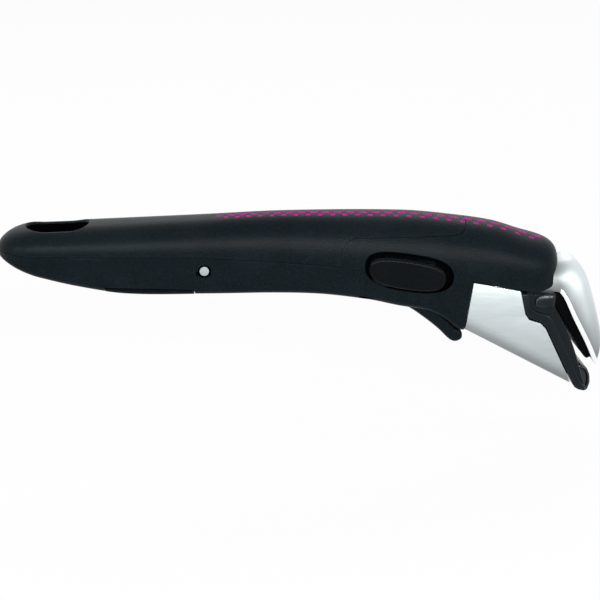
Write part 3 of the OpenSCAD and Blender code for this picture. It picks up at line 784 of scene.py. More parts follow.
@dataclass
class BodyForm:
    """The outer form of the handle, in millimetres, as smooth curves along X.

    Attributes:
        tail: where the rear end is along X.
        front: where the front end is.
        tail_round: how long the rounded tail is.
        prow_round: how long the rounded front is.
        prow_powers: how full the front's rounding is across, above and below. 2 is an ellipse.
        tail_power: how full the tail's rounding is.
        wall: the thickness of the shells.
        draft: how much the sides lean inward on the way down.
        crown_power: how full the crown's rounding is.
        corner: the radius of the lower corners.
        corner_share: the most of the section's depth or half width that a corner takes.
        fine: how many steps a body that shows has between its ends, and in each end.
        coarse: the same for one that is only cut away.
        coarse_faces: how many faces its crown, corners and flats have.
        ridge: the height of the crown.
        under: the height of the underside.
        side: the half width.
        middle: the height of the widest level.
    """

    tail: float = -219.4
    front: float = 1.6
    tail_round: float = 16.0
    prow_round: float = 18.0
    prow_powers: Point3 = (2.6, 5, 2)
    tail_power: float = 2
    wall: float = 2.3
    draft: float = 0.06
    crown_power: float = 2.2
    corner: float = 3.0
    corner_share: float = 0.4
    fine: tuple[int, int] = (130, 14)
    coarse: tuple[int, int] = (46, 7)
    coarse_faces: tuple[int, int, int] = (20, 3, 3)
    ridge: list[Point2] = field(default_factory=lambda: [
        (-219.4, 38.3), (-193.4, 38.8), (-139.8, 40.2), (-107.8, 41.1), (-60.6, 40.1), (-40, 37.8),
        (-24, 35), (-12, 31), (1.6, 27.5)])
    under: list[Point2] = field(default_factory=lambda: [
        (-219.4, 24.6), (-207.4, 21), (-189.4, 16), (-169.8, 12.4), (-139.8, 11.4), (-97.8, 10.8),
        (-76, 8.2), (-64, 5.5), (-52, 3.1), (-45, -0.7), (-40, -5), (-36, -5.5), (1.6, -4)])
    side: list[Point2] = field(default_factory=lambda: [
        (-219.4, 13.4), (-189.4, 13.8), (-119.8, 13.8), (-80, 16.1), (-56, 17.2), (-20, 17.2), (1.6, 17.2)])
    middle: list[Point2] = field(default_factory=lambda: [
        (-219.4, 29), (-159.8, 27.2), (-119.8, 25.4), (-86, 23), (-56, 20.5), (-30, 18), (1.6, 16)])

    @staticmethod
    def curve(table: Sequence[Point2], x: float) -> float:
        """Reads a smooth curve.

        Args:
            table: the points that it passes through, in order.
            x: where it is read.

        Returns:
            Its value there.
        """
        i = 0
        while i < len(table) - 2 and x >= table[i + 1][0]:
            i += 1

        def slope(k: int) -> float:
            """The curve's slope at control point k."""
            a, b = max(0, k - 1), min(len(table) - 1, k + 1)
            return (table[b][1] - table[a][1]) / (table[b][0] - table[a][0])

        h = table[i + 1][0] - table[i][0]
        u = min(1.0, max(0.0, (x - table[i][0]) / h))
        return ((2 * u ** 3 - 3 * u * u + 1) * table[i][1] + (u ** 3 - 2 * u * u + u) * slope(i) * h
                + (3 * u * u - 2 * u ** 3) * table[i + 1][1] + (u ** 3 - u * u) * slope(i + 1) * h)

    def _ends(self, x: float, inset: float, power: float) -> float:
        """How much the rounded tail and prow narrow the section.

        Args:
            x: where the section is.
            inset: how far it is moved inward.
            power: how full the prow's rounding is.

        Returns:
            The share that is left, from 1 to 0.
        """

        def ease(u: float, n: float) -> float:
            """Falls from 1 at u = 0 to 0 at u = 1."""
            return 1.0 if u <= 0 else max(0.0, 1 - u ** n) ** (1 / n)

        tail = (self.tail + self.tail_round - x) / (self.tail_round - inset)
        prow = (x - self.front + self.prow_round) / (self.prow_round - inset)
        return ease(tail, self.tail_power) * ease(prow, power)

    def sizes(self, x: float, inset: float = 0.0) -> tuple[float, float, float, float]:
        """The section's measures.

        Args:
            x: where the section is.
            inset: how far it is moved inward.

        Returns:
            The level of the widest place, the half width, the height above that level and the depth below it.
        """
        across, above, below = self.prow_powers
        middle = self.curve(self.middle, x)
        half = (self.curve(self.side, x) - inset) * self._ends(x, inset, across)
        up = (self.curve(self.ridge, x) - inset - middle) * self._ends(x, inset, above)
        down = (middle - self.curve(self.under, x) - inset) * self._ends(x, inset, below)
        return middle, half, up, down

    def _foot_of(self, half: float, down: float) -> Point2:
        """The half width at the bottom of a section and the radius of its corners.

        Args:
            half: the half width at its widest level.
            down: the depth below that level.

        Returns:
            The half width and the radius.
        """
        low = half - self.draft * down
        return low, min(self.corner, self.corner_share * low, self.corner_share * down)

    def section(self, x: float, inset: float = 0.0, crown: int = 48, corner: int = 6, flat: int = 7) -> Ring:
        """One closed ring round the body at x.

        Args:
            x: where the ring is.
            inset: how far it is moved inward.
            crown: how many faces the crown has.
            corner: how many faces each lower corner has.
            flat: how many faces each side and the underside have.

        Returns:
            The ring, counterclockwise seen from the front.
        """
        middle, half, up, down = self.sizes(x, inset)
        low, r = self._foot_of(half, down)
        ring: Ring = []
        for k in range(crown + 1):
            a = math.pi * k / crown
            y, z = fuller(math.cos(a), self.crown_power), fuller(math.sin(a), self.crown_power)
            ring.append((x, half * y, middle + up * z))
        for k in range(1, flat):
            t = k / flat
            ring.append((x, -half + (half - low) * t, middle - (down - r) * t))
        for k in range(corner + 1):
            a = math.pi / 2 * k / corner
            ring.append((x, -(low - r + r * math.cos(a)), middle - down + r - r * math.sin(a)))
        for k in range(1, flat):
            ring.append((x, (low - r) * (2 * k / flat - 1), middle - down))
        for k in range(corner, -1, -1):
            a = math.pi / 2 * k / corner
            ring.append((x, low - r + r * math.cos(a), middle - down + r - r * math.sin(a)))
        for k in range(flat - 1, 0, -1):
            t = k / flat
            ring.append((x, half - (half - low) * t, middle - (down - r) * t))
        return ring

    def stations(self, inset: float, inner: int, ends: int, turn: float = 82) -> list[float]:
        """Where the rings are: evenly along the body, and closer together at its rounded ends.

        Args:
            inset: how far the rings are moved inward.
            inner: how many steps there are between the ends.
            ends: how many steps each end has.
            turn: how far round an end the last ring is, in degrees.

        Returns:
            Their places along X.
        """
        a, b = self.tail + self.tail_round, self.front - self.prow_round
        out = [math.sin(math.radians(turn * k / ends)) for k in range(1, ends + 1)]
        tail = [a - (self.tail_round - inset) * way for way in reversed(out)]
        prow = [b + (self.prow_round - inset) * way for way in out]
        return tail + [a + (b - a) * k / inner for k in range(inner + 1)] + prow

    def solid(self, name: str, inset: float = 0.0, fine: bool = True) -> Piece:
        """Makes the body as one closed solid.

        Args:
            name: the object's name.
            inset: how far it is moved inward.
            fine: whether it shows, or is only cut away from another solid.

        Returns:
            The new object.
        """
        if fine:
            return skin(name, [self.section(x, inset) for x in self.stations(inset, *self.fine)])
        rings = [self.section(x, inset, *self.coarse_faces) for x in self.stations(inset, *self.coarse)]
        return skin(name, rings)

    def wall_y(self, x: float, z: float) -> float:
        """How far the outer wall is from the middle plane.

        Args:
            x: where it is read along X.
            z: and along Z.

        Returns:
            The distance.
        """
        middle, half, up, _ = self.sizes(x)
        if z >= middle:
            return half * max(0.0, 1 - ((z - middle) / up) ** self.crown_power) ** (1 / self.crown_power)
        return half - self.draft * (middle - z)

    def crown_z(self, x: float, y: float) -> float:
        """The height of the crown at x and y."""
        middle, half, up, _ = self.sizes(x)
        return middle + up * max(0.0, 1 - (abs(y) / half) ** self.crown_power) ** (1 / self.crown_power)

    def under_z(self, x: float, y: float) -> float:
        """The height of the underside.

        Args:
            x: where it is read along X.
            y: and along Y.

        Returns:
            The height.
        """
        middle, half, _, down = self.sizes(x)
        low, r = self._foot_of(half, down)
        over = max(0.0, abs(y) - (low - r))
        return middle - down + r - math.sqrt(max(0.0, r * r - min(over, r) ** 2))


FORM = BodyForm()

# The sine and cosine at each step round a cutter's soft rim, from the outside inward.
ROUNDING = [(math.sin(math.radians(a)), math.cos(math.radians(a))) for a in (12, 30, 50, 70, 90)]


# ---- Housing ----


@dataclass
class Housing:
    """The two moulded shells and the cover plate.

    Attributes:
        rear_edge: the shells' meeting edge, from the tail to where the upper one's side edge turns up.
        lid_end: where the lid's lower edge ends along X.
        lid_side_z: the height of the lid's lower edge along the head.
        turns: the radii of the edge's turn into the lid and of its turn up at the lid's end.
        hole: the hanging hole's middle, length and width.
        hole_lip: the radius of its rims.
        pocket_lip: the radius of a button pocket's rim.
        pocket_floor: how far a pocket's floor is from the middle plane.
        pocket_block: the solid part behind a pocket, seen from the side, as its lowest and highest corner.
        web_z: the underside of the wall above the lever.
        web: the thickness of that wall.
        web_rear: where it starts along X.
        floor: the thickness of the wall round the cover plate's seat.
        bulkhead: how far the wall behind the clamp reaches below and above its foot, and its thickness.
        lever_half: half the lever's width.
        seam: half the width of the groove along the meeting edge.
        seam_depth: how deep it is.
        head_edge: the head's lower edge seen from the side.
        foot: the lower end of the head's rear wall.
        cover_ends: how far behind the lever's axis the cover plate starts and ends.
        cover_slant: how far its top edge is moved at the rear and at the front.
        cover_rise: how far its top edge stands above the underside.
        cover_gap: the gap round it.
        cover_proud: how far it stands out.
        cover_edge: the radius of its edges.
        bay: where the lever's bay starts, widens, is wide, and ends.
        bay_gaps: how much wider than the lever it is at the rear and at the nose.
        hub_room: the radius of the room for the lever's hub.
        pin_bore: the pin's bore from inside out, as distances from the middle plane and radii.
        carrier_seat: the seat behind a pocket, seen from the side.
        carrier_depth: where that seat starts and ends from the middle plane.
        skirt_room: the room behind the skirt, as its lowest and highest corner seen from the side.
        skirt_half: half the width of that room.
        passage: the half width, level and height of the hook, and how full it is.
        passage_gaps: where the hook's passage and its wider mouth start, and the gap round the hook there.
        dark_box: where the painted shade in the pockets is: their span along X, their span along Z, and how
            far out they start.
        dark_inside: how far past the wall, the hanging hole's side, its lower rim and its upper rim the
            painted shade starts.
        dark_bore: the radius round the pin within which shade is painted.
        pocket: the outline of a button pocket.
    """

    rear_edge: list[Point2] = field(default_factory=lambda: [
        (-219.9, 29.6), (-207.4, 28.8), (PIVOT[0], 26.8), (-87.0, 22.6)])
    lid_end: float = -36.0
    lid_side_z: float = 33.2
    turns: Point2 = (7.0, 6.0)
    hole: Point3 = (-195.9, 24.0, 14.0)
    hole_lip: float = 1.8
    pocket_lip: float = 0.7
    pocket_floor: float = 13.2
    pocket_block: tuple[Point2, Point2] = ((-81.6, 0), (-40.6, 28.5))
    web_z: float = 21.4
    web: float = 2
    web_rear: float = PIVOT[0] + 17
    floor: float = 2.2
    bulkhead: Point3 = (6, 14, 2)
    lever_half: float = 9.6
    seam: float = 0.13
    seam_depth: float = 0.3
    head_edge: list[Point2] = field(default_factory=lambda: [
        (-34.9, 15), (-16, 11.2), (-8, 10.1), (-3, 11.2), (0.6, 13.2), (3.4, 16.3), (7.6, 17)])
    foot: Point2 = (-37.8, -5.5)
    cover_ends: Point2 = (36.7, 2.7)
    cover_slant: Point2 = (1.8, 1.9)
    cover_rise: float = 1.9
    cover_gap: float = 0.4
    cover_proud: float = 0.08
    cover_edge: float = 0.35
    bay: tuple[float, float, float, float] = (PIVOT[0] - 2.6, -78, -54, -30)
    bay_gaps: Point2 = (0.6, 3.8)
    hub_room: float = 7.6
    pin_bore: tuple[Point2, ...] = ((8.0, 1.95), (12.3, 1.95), (12.3, 2.6), (20.0, 2.6))
    carrier_seat: list[Point2] = field(default_factory=lambda: [
        (-79.1, 12.1), (-64.6, 10.3), (-41.5, 8.3), (-41.5, 27.5), (-79.1, 27.5)])
    carrier_depth: Point2 = (11.9, 13.3)
    skirt_room: tuple[Point2, Point2] = ((-34, 0), (-8, 20))
    skirt_half: float = 15
    passage: tuple[float, float, float, float] = (12.2, 8.9, 10.7, 2.6)
    passage_gaps: tuple[Point2, Point2] = ((-14.0, 0.35), (-2.0, 1.7))
    dark_box: tuple[Point2, Point2, float] = ((-79, -41), (9, 29), 13)
    dark_inside: tuple[float, float, float, float] = (0.62, 0.35, 0.3, 1.2)
    dark_bore: float = 2.7
    pocket: list[Point2] = field(default_factory=lambda: [
        (-77.3, 21.6), (-76.7, 25.2), (-74.7, 27.0), (-71.6, 27.7), (-67.6, 27.7), (-62.0, 27.1),
        (-55.7, 26.1), (-50.7, 24.9), (-46.6, 23.2), (-44.0, 20.9), (-42.9, 18.0), (-43.2, 15.2),
        (-44.8, 12.9), (-47.8, 11.6), (-52.2, 11.2), (-56.9, 11.5), (-61.7, 12.2), (-66.7, 13.3),
        (-71.1, 14.7), (-74.6, 16.8), (-76.5, 19.0)])

    def parting(self) -> list[Point2]:
        """The edge between the two shells, from the tail to the front of the lid.

        Returns:
            The edge, as x and z.
        """
        (into, up), x, z, end = self.turns, self.rear_edge[-1][0], self.lid_side_z, self.lid_end
        line = list(self.rear_edge)
        line += [(x + into - into * math.cos(math.radians(a)), z - into + into * math.sin(math.radians(a)))
                 for a in range(0, 91, 10)]
        line += [(end - up + up * math.cos(math.radians(a)), z + up + up * math.sin(math.radians(a)))
                 for a in range(-90, 0, 10)]
        return line + [(end, 60.0)]

    def _cavity(self) -> Piece:
        """The hollow inside the housing, less the walls that stand in it.

        Returns:
            The hollow, as a cutter.
        """
        hollow = FORM.solid("hollow", FORM.wall, fine=False)
        hx, length, width = self.hole
        tube = obround(length + 2 * FORM.wall, width + 2 * FORM.wall, (hx, 0))
        combine(hollow, prism("hole_wall", tube, Axis.Z, -50, 80))
        web = oblong((self.web_rear, self.web_z), (self.rear_edge[-1][0] - 1, self.web_z + self.web))
        floor = self.cover_outline(self.floor)
        for name, outline in (("web", web), ("bulkhead", self._bulkhead()), ("floor", floor)):
            combine(hollow, prism(name, outline, Axis.Y, *ACROSS))
        for side in Side:
            ends = side.reach(self.pocket_floor, ACROSS[1])
            combine(hollow, prism("pad", oblong(*self.pocket_block), Axis.Y, *ends))
        return hollow

    def _bulkhead(self) -> list[Point2]:
        """The wall behind the clamp.

        Returns:
            Its outline seen from the side.
        """
        (fx, fz), (ex, ez), (below, above, thick) = self.foot, self.head_edge[0], self.bulkhead
        lean = (ex - fx) / (ez - fz)
        low, top = (fx - below * lean, fz - below), (fx + above * lean, fz + above)
        return [low, top, (top[0] - thick, top[1]), (low[0] - thick, low[1])]

    def cover_outline(self, grow: float = 0.0) -> list[Point2]:
        """The cover plate's outline seen from the side, open to below.

        Args:
            grow: how far it is moved outward, as for its seat.

        Returns:
            The outline.
        """
        rear, front = PIVOT[0] - self.cover_ends[0], PIVOT[0] - self.cover_ends[1]
        low_rear, low_front = FORM.curve(FORM.under, rear), FORM.curve(FORM.under, front)
        slant_rear, slant_front = self.cover_slant
        return [(rear - slant_rear - grow, low_rear + self.cover_rise + grow),
                (front - slant_front + grow, low_front + self.cover_rise + grow),
                (front + grow, low_front - 4), (rear - grow, low_rear - 4)]

    def _hole_cutter(self) -> Piece:
        """The hanging hole with rounded rims above and below.

        Returns:
            The cutter.
        """
        hx, length, width = self.hole
        r = self.hole_lip
        rings: list[Ring] = []

        def ring(grow: float, level: Callable[[float, float], float]) -> None:
            """Adds one ring, grown outward, at the level that each of its places has."""
            line = obround(length + grow, width + 2 * grow, (hx, 0), steps=26)
            rings.append([(x, y, level(x, y)) for x, y in line])

        widest = r * (1 - ROUNDING[0][0])
        ring(widest, lambda x, y: 70.0)
        for s, c in ROUNDING:
            ring(r * (1 - s), lambda x, y, c=c: FORM.crown_z(x, y) - r * (1 - c))
        for s, c in reversed(ROUNDING):
            ring(r * (1 - s), lambda x, y, c=c: FORM.under_z(x, y) + r * (1 - c))
        ring(widest, lambda x, y: -40.0)
        return skin("hang_hole", rings)

    def _pocket_cutter(self, side: Side) -> Piece:
        """A button pocket with a rounded rim that follows the wall.

        Args:
            side: the side that it is on.

        Returns:
            The cutter.
        """
        line, r, s = round_outline(self.pocket), self.pocket_lip, side.value
        rings: list[Ring] = [[(x, s * ACROSS[1], z) for x, z in grown(line, r * (1 - ROUNDING[0][0]))]]
        for out, up in ROUNDING:
            rim = grown(line, r * (1 - out))
            rings.append([(x, s * (FORM.wall_y(x, z) - r * (1 - up)), z) for x, z in rim])
        rings.append([(x, s * self.pocket_floor, z) for x, z in line])
        return skin("pocket", rings)

    def _seam_cutter(self) -> Piece:
        """The fine groove along the shells' meeting edge.

        Returns:
            The cutter.
        """
        pts = np.array(self.parting(), float)
        along = np.gradient(pts, axis=0)
        out = np.stack([-along[:, 1], along[:, 0]], axis=1)
        out /= np.linalg.norm(out, axis=1)[:, None]
        strip_edge = [*(pts + out * self.seam), *(pts - out * self.seam)[::-1]]
        strip = prism("seam", [tuple(p) for p in strip_edge], Axis.Y, *ACROSS)
        combine(strip, FORM.solid("seam_core", self.seam_depth, fine=True))
        return strip

    def build(self) -> list[Piece]:
        """Makes the shells and the cover plate.

        Returns:
            The three pieces.
        """
        cavity, seam, hole = self._cavity(), self._seam_cutter(), self._hole_cutter()
        edge, over = self.parting()[:-1], 90.0
        above = prism("above", [(edge[0][0], over), *edge, (self.lid_end, over)], Axis.Y, *ACROSS)
        body = FORM.solid("main_shell_moulding")
        combine(body, cavity, keep=True)
        combine(body, hole, keep=True)
        lid = body.copy()
        lid.data = body.data.copy()
        lid.name = lid.data.name = "upper_shell_moulding"
        bpy.context.scene.collection.objects.link(lid)
        combine(lid, above, Cut.KEEP_COMMON, keep=True)
        combine(lid, seam, keep=True)
        combine(body, above)
        self._open_underside(body)
        for side in Side:
            combine(body, self._pocket_cutter(side))
            combine(body, prism("carrier_seat", self.carrier_seat, Axis.Y, *side.reach(*self.carrier_depth)))
        self._open_head(body)
        combine(body, seam)
        for tool in (cavity, hole):
            discard(tool)
        for obj in (body, lid):
            tuck(obj)
            smooth(obj, 38)
            GRIP_BLACK.dress(obj)
            # Paints shade on the walls of the pockets and the hanging hole and round the pin's bore.
            RECESS_SHADE.also_on(obj, self._recessed)
        return [self._finish(lid, "upper_shell"), self._finish(body, "main_shell"), self._cover()]

    def _recessed(self, at: Vector) -> bool:
        """Whether a place is inside a pocket, the hanging hole or the pin's bore, where shade is painted.

        Args:
            at: the place, in millimetres.

        Returns:
            True where it is.
        """
        hx, length, width = self.hole
        (x0, x1), (z0, z1), out = self.dark_box
        wall, side, low, high = self.dark_inside
        by_pocket = x0 < at.x < x1 and z0 < at.z < z1 and abs(at.y) > out
        in_pocket = by_pocket and abs(at.y) < FORM.wall_y(at.x, at.z) - wall
        over = math.hypot(max(0.0, abs(at.x - hx) - (length - width) / 2), at.y) - width / 2
        in_hole = over < side and FORM.under_z(at.x, at.y) + low < at.z < FORM.crown_z(at.x, at.y) - high
        in_bore = math.hypot(at.x - PIVOT[0], at.z - PIVOT[1]) < self.dark_bore
        return in_pocket or in_hole or in_bore

    def _open_underside(self, body: Piece) -> None:
        """Cuts the lever's bay, the cover plate's seat and the pivot's bores.

        Args:
            body: the main shell.
        """
        gap, nose = (self.lever_half + more for more in self.bay_gaps)
        rear, widens, wide, front = self.bay
        plan = [(rear, -gap), (widens, -gap), (wide, -nose), (front, -nose),
                (front, nose), (wide, nose), (widens, gap), (rear, gap)]
        bay = prism("bay", plan, Axis.Z, -100, self.web_z - 2)
        (fx, fz), (ex, ez) = self.foot, self.head_edge[0]
        end = [(fx - 2, fz), (ex - 2, ez), (0, ez), (0, -120), (fx - 2, -120)]
        combine(bay, prism("bay_end", end, Axis.Y, -60, 60))
        combine(body, bay)
        combine(body, prism("cover_seat", self.cover_outline(self.cover_gap), Axis.Y, *ACROSS))
        combine(body, prism("hub_room", circle(self.hub_room, PIVOT, 48), Axis.Y, -gap, gap))
        for side in Side:
            rings = [[(x, side.value * y, z) for x, z in circle(r, PIVOT, 40)] for y, r in self.pin_bore]
            combine(body, skin("pin_bore", rings))

    def _open_head(self, body: Piece) -> None:
        """Cuts the head's lower edge, the room behind the skirt and the hook's passage.

        Args:
            body: the main shell.
        """
        fx, fz = self.foot
        below = [(fx - 20, -90.0), (fx, fz - 20), (fx, fz), *self.head_edge, (40.0, 17.0), (40.0, -90.0)]
        combine(body, prism("below_head", below, Axis.Y, *ACROSS))
        room = prism("skirt_room", oblong(*self.skirt_room), Axis.Y, -self.skirt_half, self.skirt_half)
        combine(body, room)
        half, level, rise, power = self.passage
        for start, gap in self.passage_gaps:
            side, up = half + gap, rise + gap
            arc = [(side * fuller(math.cos(a), power), level + up * fuller(math.sin(a), power))
                   for a in np.linspace(0, math.pi, 33)]
            combine(body, prism("passage", [(side, 0.0), *arc, (-side, 0.0)], Axis.X, start, 40))

    def _cover(self) -> Piece:
        """The cover plate under the grip.

        Returns:
            The piece.
        """
        outer = FORM.solid("cover_plate", -self.cover_proud, fine=True)
        combine(outer, prism("cover_cut", self.cover_outline(), Axis.Y, *ACROSS), Cut.KEEP_COMMON)
        round_edges(outer, self.cover_edge, 2, 50)
        tuck(outer)
        smooth(outer, 40)
        # The darker black is painted shade under the grip.
        COVER_SHADE_BLACK.dress(outer)
        return self._finish(outer, "rear_base_plate")

    def _finish(self, obj: Piece, node: str) -> Piece:
        """Lets a moulding stand for its CAD node."""
        return stand_for(obj, node, "handle")


# ---- Printed dashes ----


@dataclass
class CrownDashes:
    """The printed dashes along the crown: a row of long ones, and a row of short ones on each side of it.

    A size that changes along the handle is a pair: its value at the rear, and how much it gains on the way.

    Attributes:
        start: where the rows start along X.
        run: the length that the pairs count on.
        stop: where the long row stops.
        side_stop: where the side rows stop.
        pitch: the distance between the long dashes.
        row: where the long row is along Y.
        long: a long dash's length.
        wide: its width.
        short: a short dash's length.
        narrow: its width.
        spread_at: places along X.
        spread: how far the side rows are from the long row there.
        ink: how far the print stands above the crown.
    """

    start: float = -133.0
    run: float = 127.0
    stop: float = -6.5
    side_stop: float = -7.0
    pitch: Point2 = (4.4, 1.4)
    row: Point2 = (-1.4, -1.0)
    long: Point2 = (2.6, 1.2)
    wide: Point2 = (1.6, 0.3)
    short: Point2 = (1.7, 0.5)
    narrow: Point2 = (1.05, 0.2)
    spread_at: tuple[float, ...] = (-133, -110, -60, -6)
    spread: tuple[float, ...] = (2.0, 2.3, 3.0, 3.6)
    ink: float = 0.035

    def _plan(self) -> list[tuple[float, float, float, float]]:
        """Where the dashes are.

        Returns:
            Each dash's x and y, its length and its width.
        """
        plan = []
        x = self.start
        while x < self.stop:
            t = (x - self.start) / self.run
            pitch, row, long, wide, short, narrow = (
                at_rear + gain * t for at_rear, gain in (
                    self.pitch, self.row, self.long, self.wide, self.short, self.narrow))
            plan.append((x, row, long, wide))
            if x + pitch / 2 < self.side_stop:
                spread = np.interp(x, self.spread_at, self.spread)
                plan += [(x + pitch / 2, row + s * spread, short, narrow) for s in (-1, 1)]
            x = x + pitch
        return plan

    def _pattern(self) -> tuple[Piece, np.ndarray]:
        """Makes the first dash, a disc whose rim slopes down to the crown.

        Returns:
            The disc, and its vertices' places for a radius of 1.
        """
        bpy.ops.object.select_all(action="DESELECT")
        bpy.ops.mesh.primitive_circle_add(vertices=14, radius=MM, fill_type="NGON")
        disc = bpy.context.object
        bpy.ops.object.mode_set(mode="EDIT")
        bpy.ops.mesh.select_all(action="SELECT")
        bpy.ops.mesh.inset(thickness=0.3 * MM, depth=0)
        bpy.ops.mesh.poke()
        bpy.ops.object.mode_set(mode="OBJECT")
        base = np.zeros(len(disc.data.vertices) * 3)
        disc.data.vertices.foreach_get("co", base)
        return disc, base.reshape(-1, 3) / MM

    def _lay(self, dash: Piece, base: np.ndarray, x: float, y: float, length: float, width: float) -> None:
        """Stretches one dash and lays it on the crown.

        Args:
            dash: a copy of the first dash.
            base: the first dash's places for a radius of 1.
            x: the dash's middle along X.
            y: and along Y.
            length: its length.
            width: its width.
        """
        points = []
        for u, v, _ in base:
            stretch = (length - width) / 2 * (1 if u > 0.05 else -1 if u < -0.05 else 0)
            px, py = x + u * width / 2 + stretch, y + v * width / 2
            points.append((px, py, FORM.crown_z(px, py) + (self.ink if u * u + v * v < 0.9 else 0.0)))
        place(dash, points)

    def build(self) -> Piece:
        """Makes all the dashes as one piece.

        Returns:
            The piece.
        """
        first, base = self._pattern()
        copies = []
        for dash in self._plan():
            one = first.copy()
            one.data = first.data.copy()
            bpy.context.scene.collection.objects.link(one)
            self._lay(one, base, *dash)
            copies.append(one)
        discard(first)
        only(*copies)
        bpy.ops.object.join()
        marks = copies[0]
        marks.name = marks.data.name = "crown_dashes"
        edit(marks, lambda: bpy.ops.mesh.normals_make_consistent(inside=False))
        tuck(marks)
        smooth(marks, 60)
        PRINT_MAGENTA.dress(marks)
        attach(marks, "handle")
        log.info("crown_dashes: %d dashes", len(copies))
        return marks


# ---- Lever ----


@dataclass
class Lever:
    """The release lever under the head, with its flared nose.

    Attributes:
        half: half its width behind the nose.
        wall: the thickness of its sides.
        hub: the radius of its hub.
        bore: the radius of the pin's bore.
        edge: the radius of its long edges.
        rivets: where the rivets are along X, and from which height up.
        rivet_bore: the radius of their bores.
        sides: matching places on its underside and its upper side, with its half width there.
        inside: its hollow, seen from the side.
    """

    half: float = 9.6
    wall: float = 1.8
    hub: float = 7.0
    bore: float = 1.95
    edge: float = 1.9
    rivets: tuple[Point2, ...] = ((PIVOT[0] + 16, 0), (PIVOT[0] + 28, 0), (-60.6, 4.4))
    rivet_bore: float = 1.33
    sides: list[tuple[Point2, Point2, float]] = field(default_factory=lambda: [
        ((-136.8, 14.0), (-136.8, 19.6), 9.6), ((-130.8, 12.1), (-130.8, 18.5), 9.6),
        ((-115, 11.6), (-115, 17.2), 9.6), ((-98.8, 11.3), (-98.8, 16), 9.6),
        ((-86, 9.9), (-86, 14.1), 9.6), ((-75, 8.5), (-75, 12.5), 9.65), ((-68, 7.1), (-68, 9.6), 9.9),
        ((-63, 5.1), (-62.5, 9.2), 10.4), ((-58, 2.6), (-56.5, 8.6), 11.1), ((-54, -0.2), (-52.6, 7), 11.6),
        ((-50, -3.3), (-48.6, 3.6), 11.9), ((-46.6, -6.3), (-44.8, 0.1), 12.1),
        ((-44.4, -8.6), (-42.0, -2.9), 12.2), ((-42.8, -10.1), (-40.6, -4.6), 12.2),
        ((-41.5, -10.9), (-39.4, -5.5), 12.2), ((-40.2, -11.2), (-38.5, -6.2), 12.1),
        ((-39.1, -11.0), (-37.9, -6.9), 11.9), ((-38.3, -10.5), (-37.6, -7.8), 11.6),
        ((-37.8, -9.8), (-37.55, -8.7), 11.2)])
    inside: list[Point2] = field(default_factory=lambda: [
        (-149.8, 30), (-149.8, 16), (-130.8, 14.1), (-98.8, 13.3), (-86, 11.8), (-75, 10.6), (-70, 9.9),
        (-70, 30)])

    def _ring(self, low: np.ndarray, high: np.ndarray, half: float) -> Ring:
        """One rounded rectangle round the lever.

        Args:
            low: the place on its underside, as x and z.
            high: the place on its upper side.
            half: half its width there.

        Returns:
            The ring.
        """
        up = high - low
        thick = float(np.linalg.norm(up))
        up = up / thick
        r = min(self.edge, 0.46 * thick)
        ring: Ring = []
        for cy, cu, start in ((1, 0, -90), (1, 1, 0), (-1, 1, 90), (-1, 0, 180)):
            for k in range(7):
                a = math.radians(start + 15 * k)
                y = cy * (half - r) + r * math.cos(a)
                u = (thick - r if cu else r) + r * math.sin(a)
                q = low + up * u
                ring.append((float(q[0]), y, float(q[1])))
        return ring

    def build(self) -> Piece:
        """Makes the lever.

        Returns:
            The piece.
        """
        rows = np.array([[*a, *b, w] for a, b, w in self.sides])
        fine = catmull(rows, 5)
        lever = skin("release_lever", [self._ring(row[0:2], row[2:4], float(row[4])) for row in fine])
        combine(lever, prism("hub", circle(self.hub, PIVOT, 64), Axis.Y, -self.half, self.half), Cut.JOIN)
        combine(lever, prism("inside", self.inside, Axis.Y, self.wall - self.half, self.half - self.wall))
        combine(lever, prism("pivot_bore", circle(self.bore, PIVOT, 40), Axis.Y, -20, 20))
        for x, low in self.rivets:
            combine(lever, prism("rivet_bore", circle(self.rivet_bore, (x, 0), 32), Axis.Z, low, 30))
        tuck(lever)
        smooth(lever, 38)
        GRIP_BLACK.dress(lever)
        return stand_for(lever, "lever", "lever")


# ---- Buttons and pivot pin ----


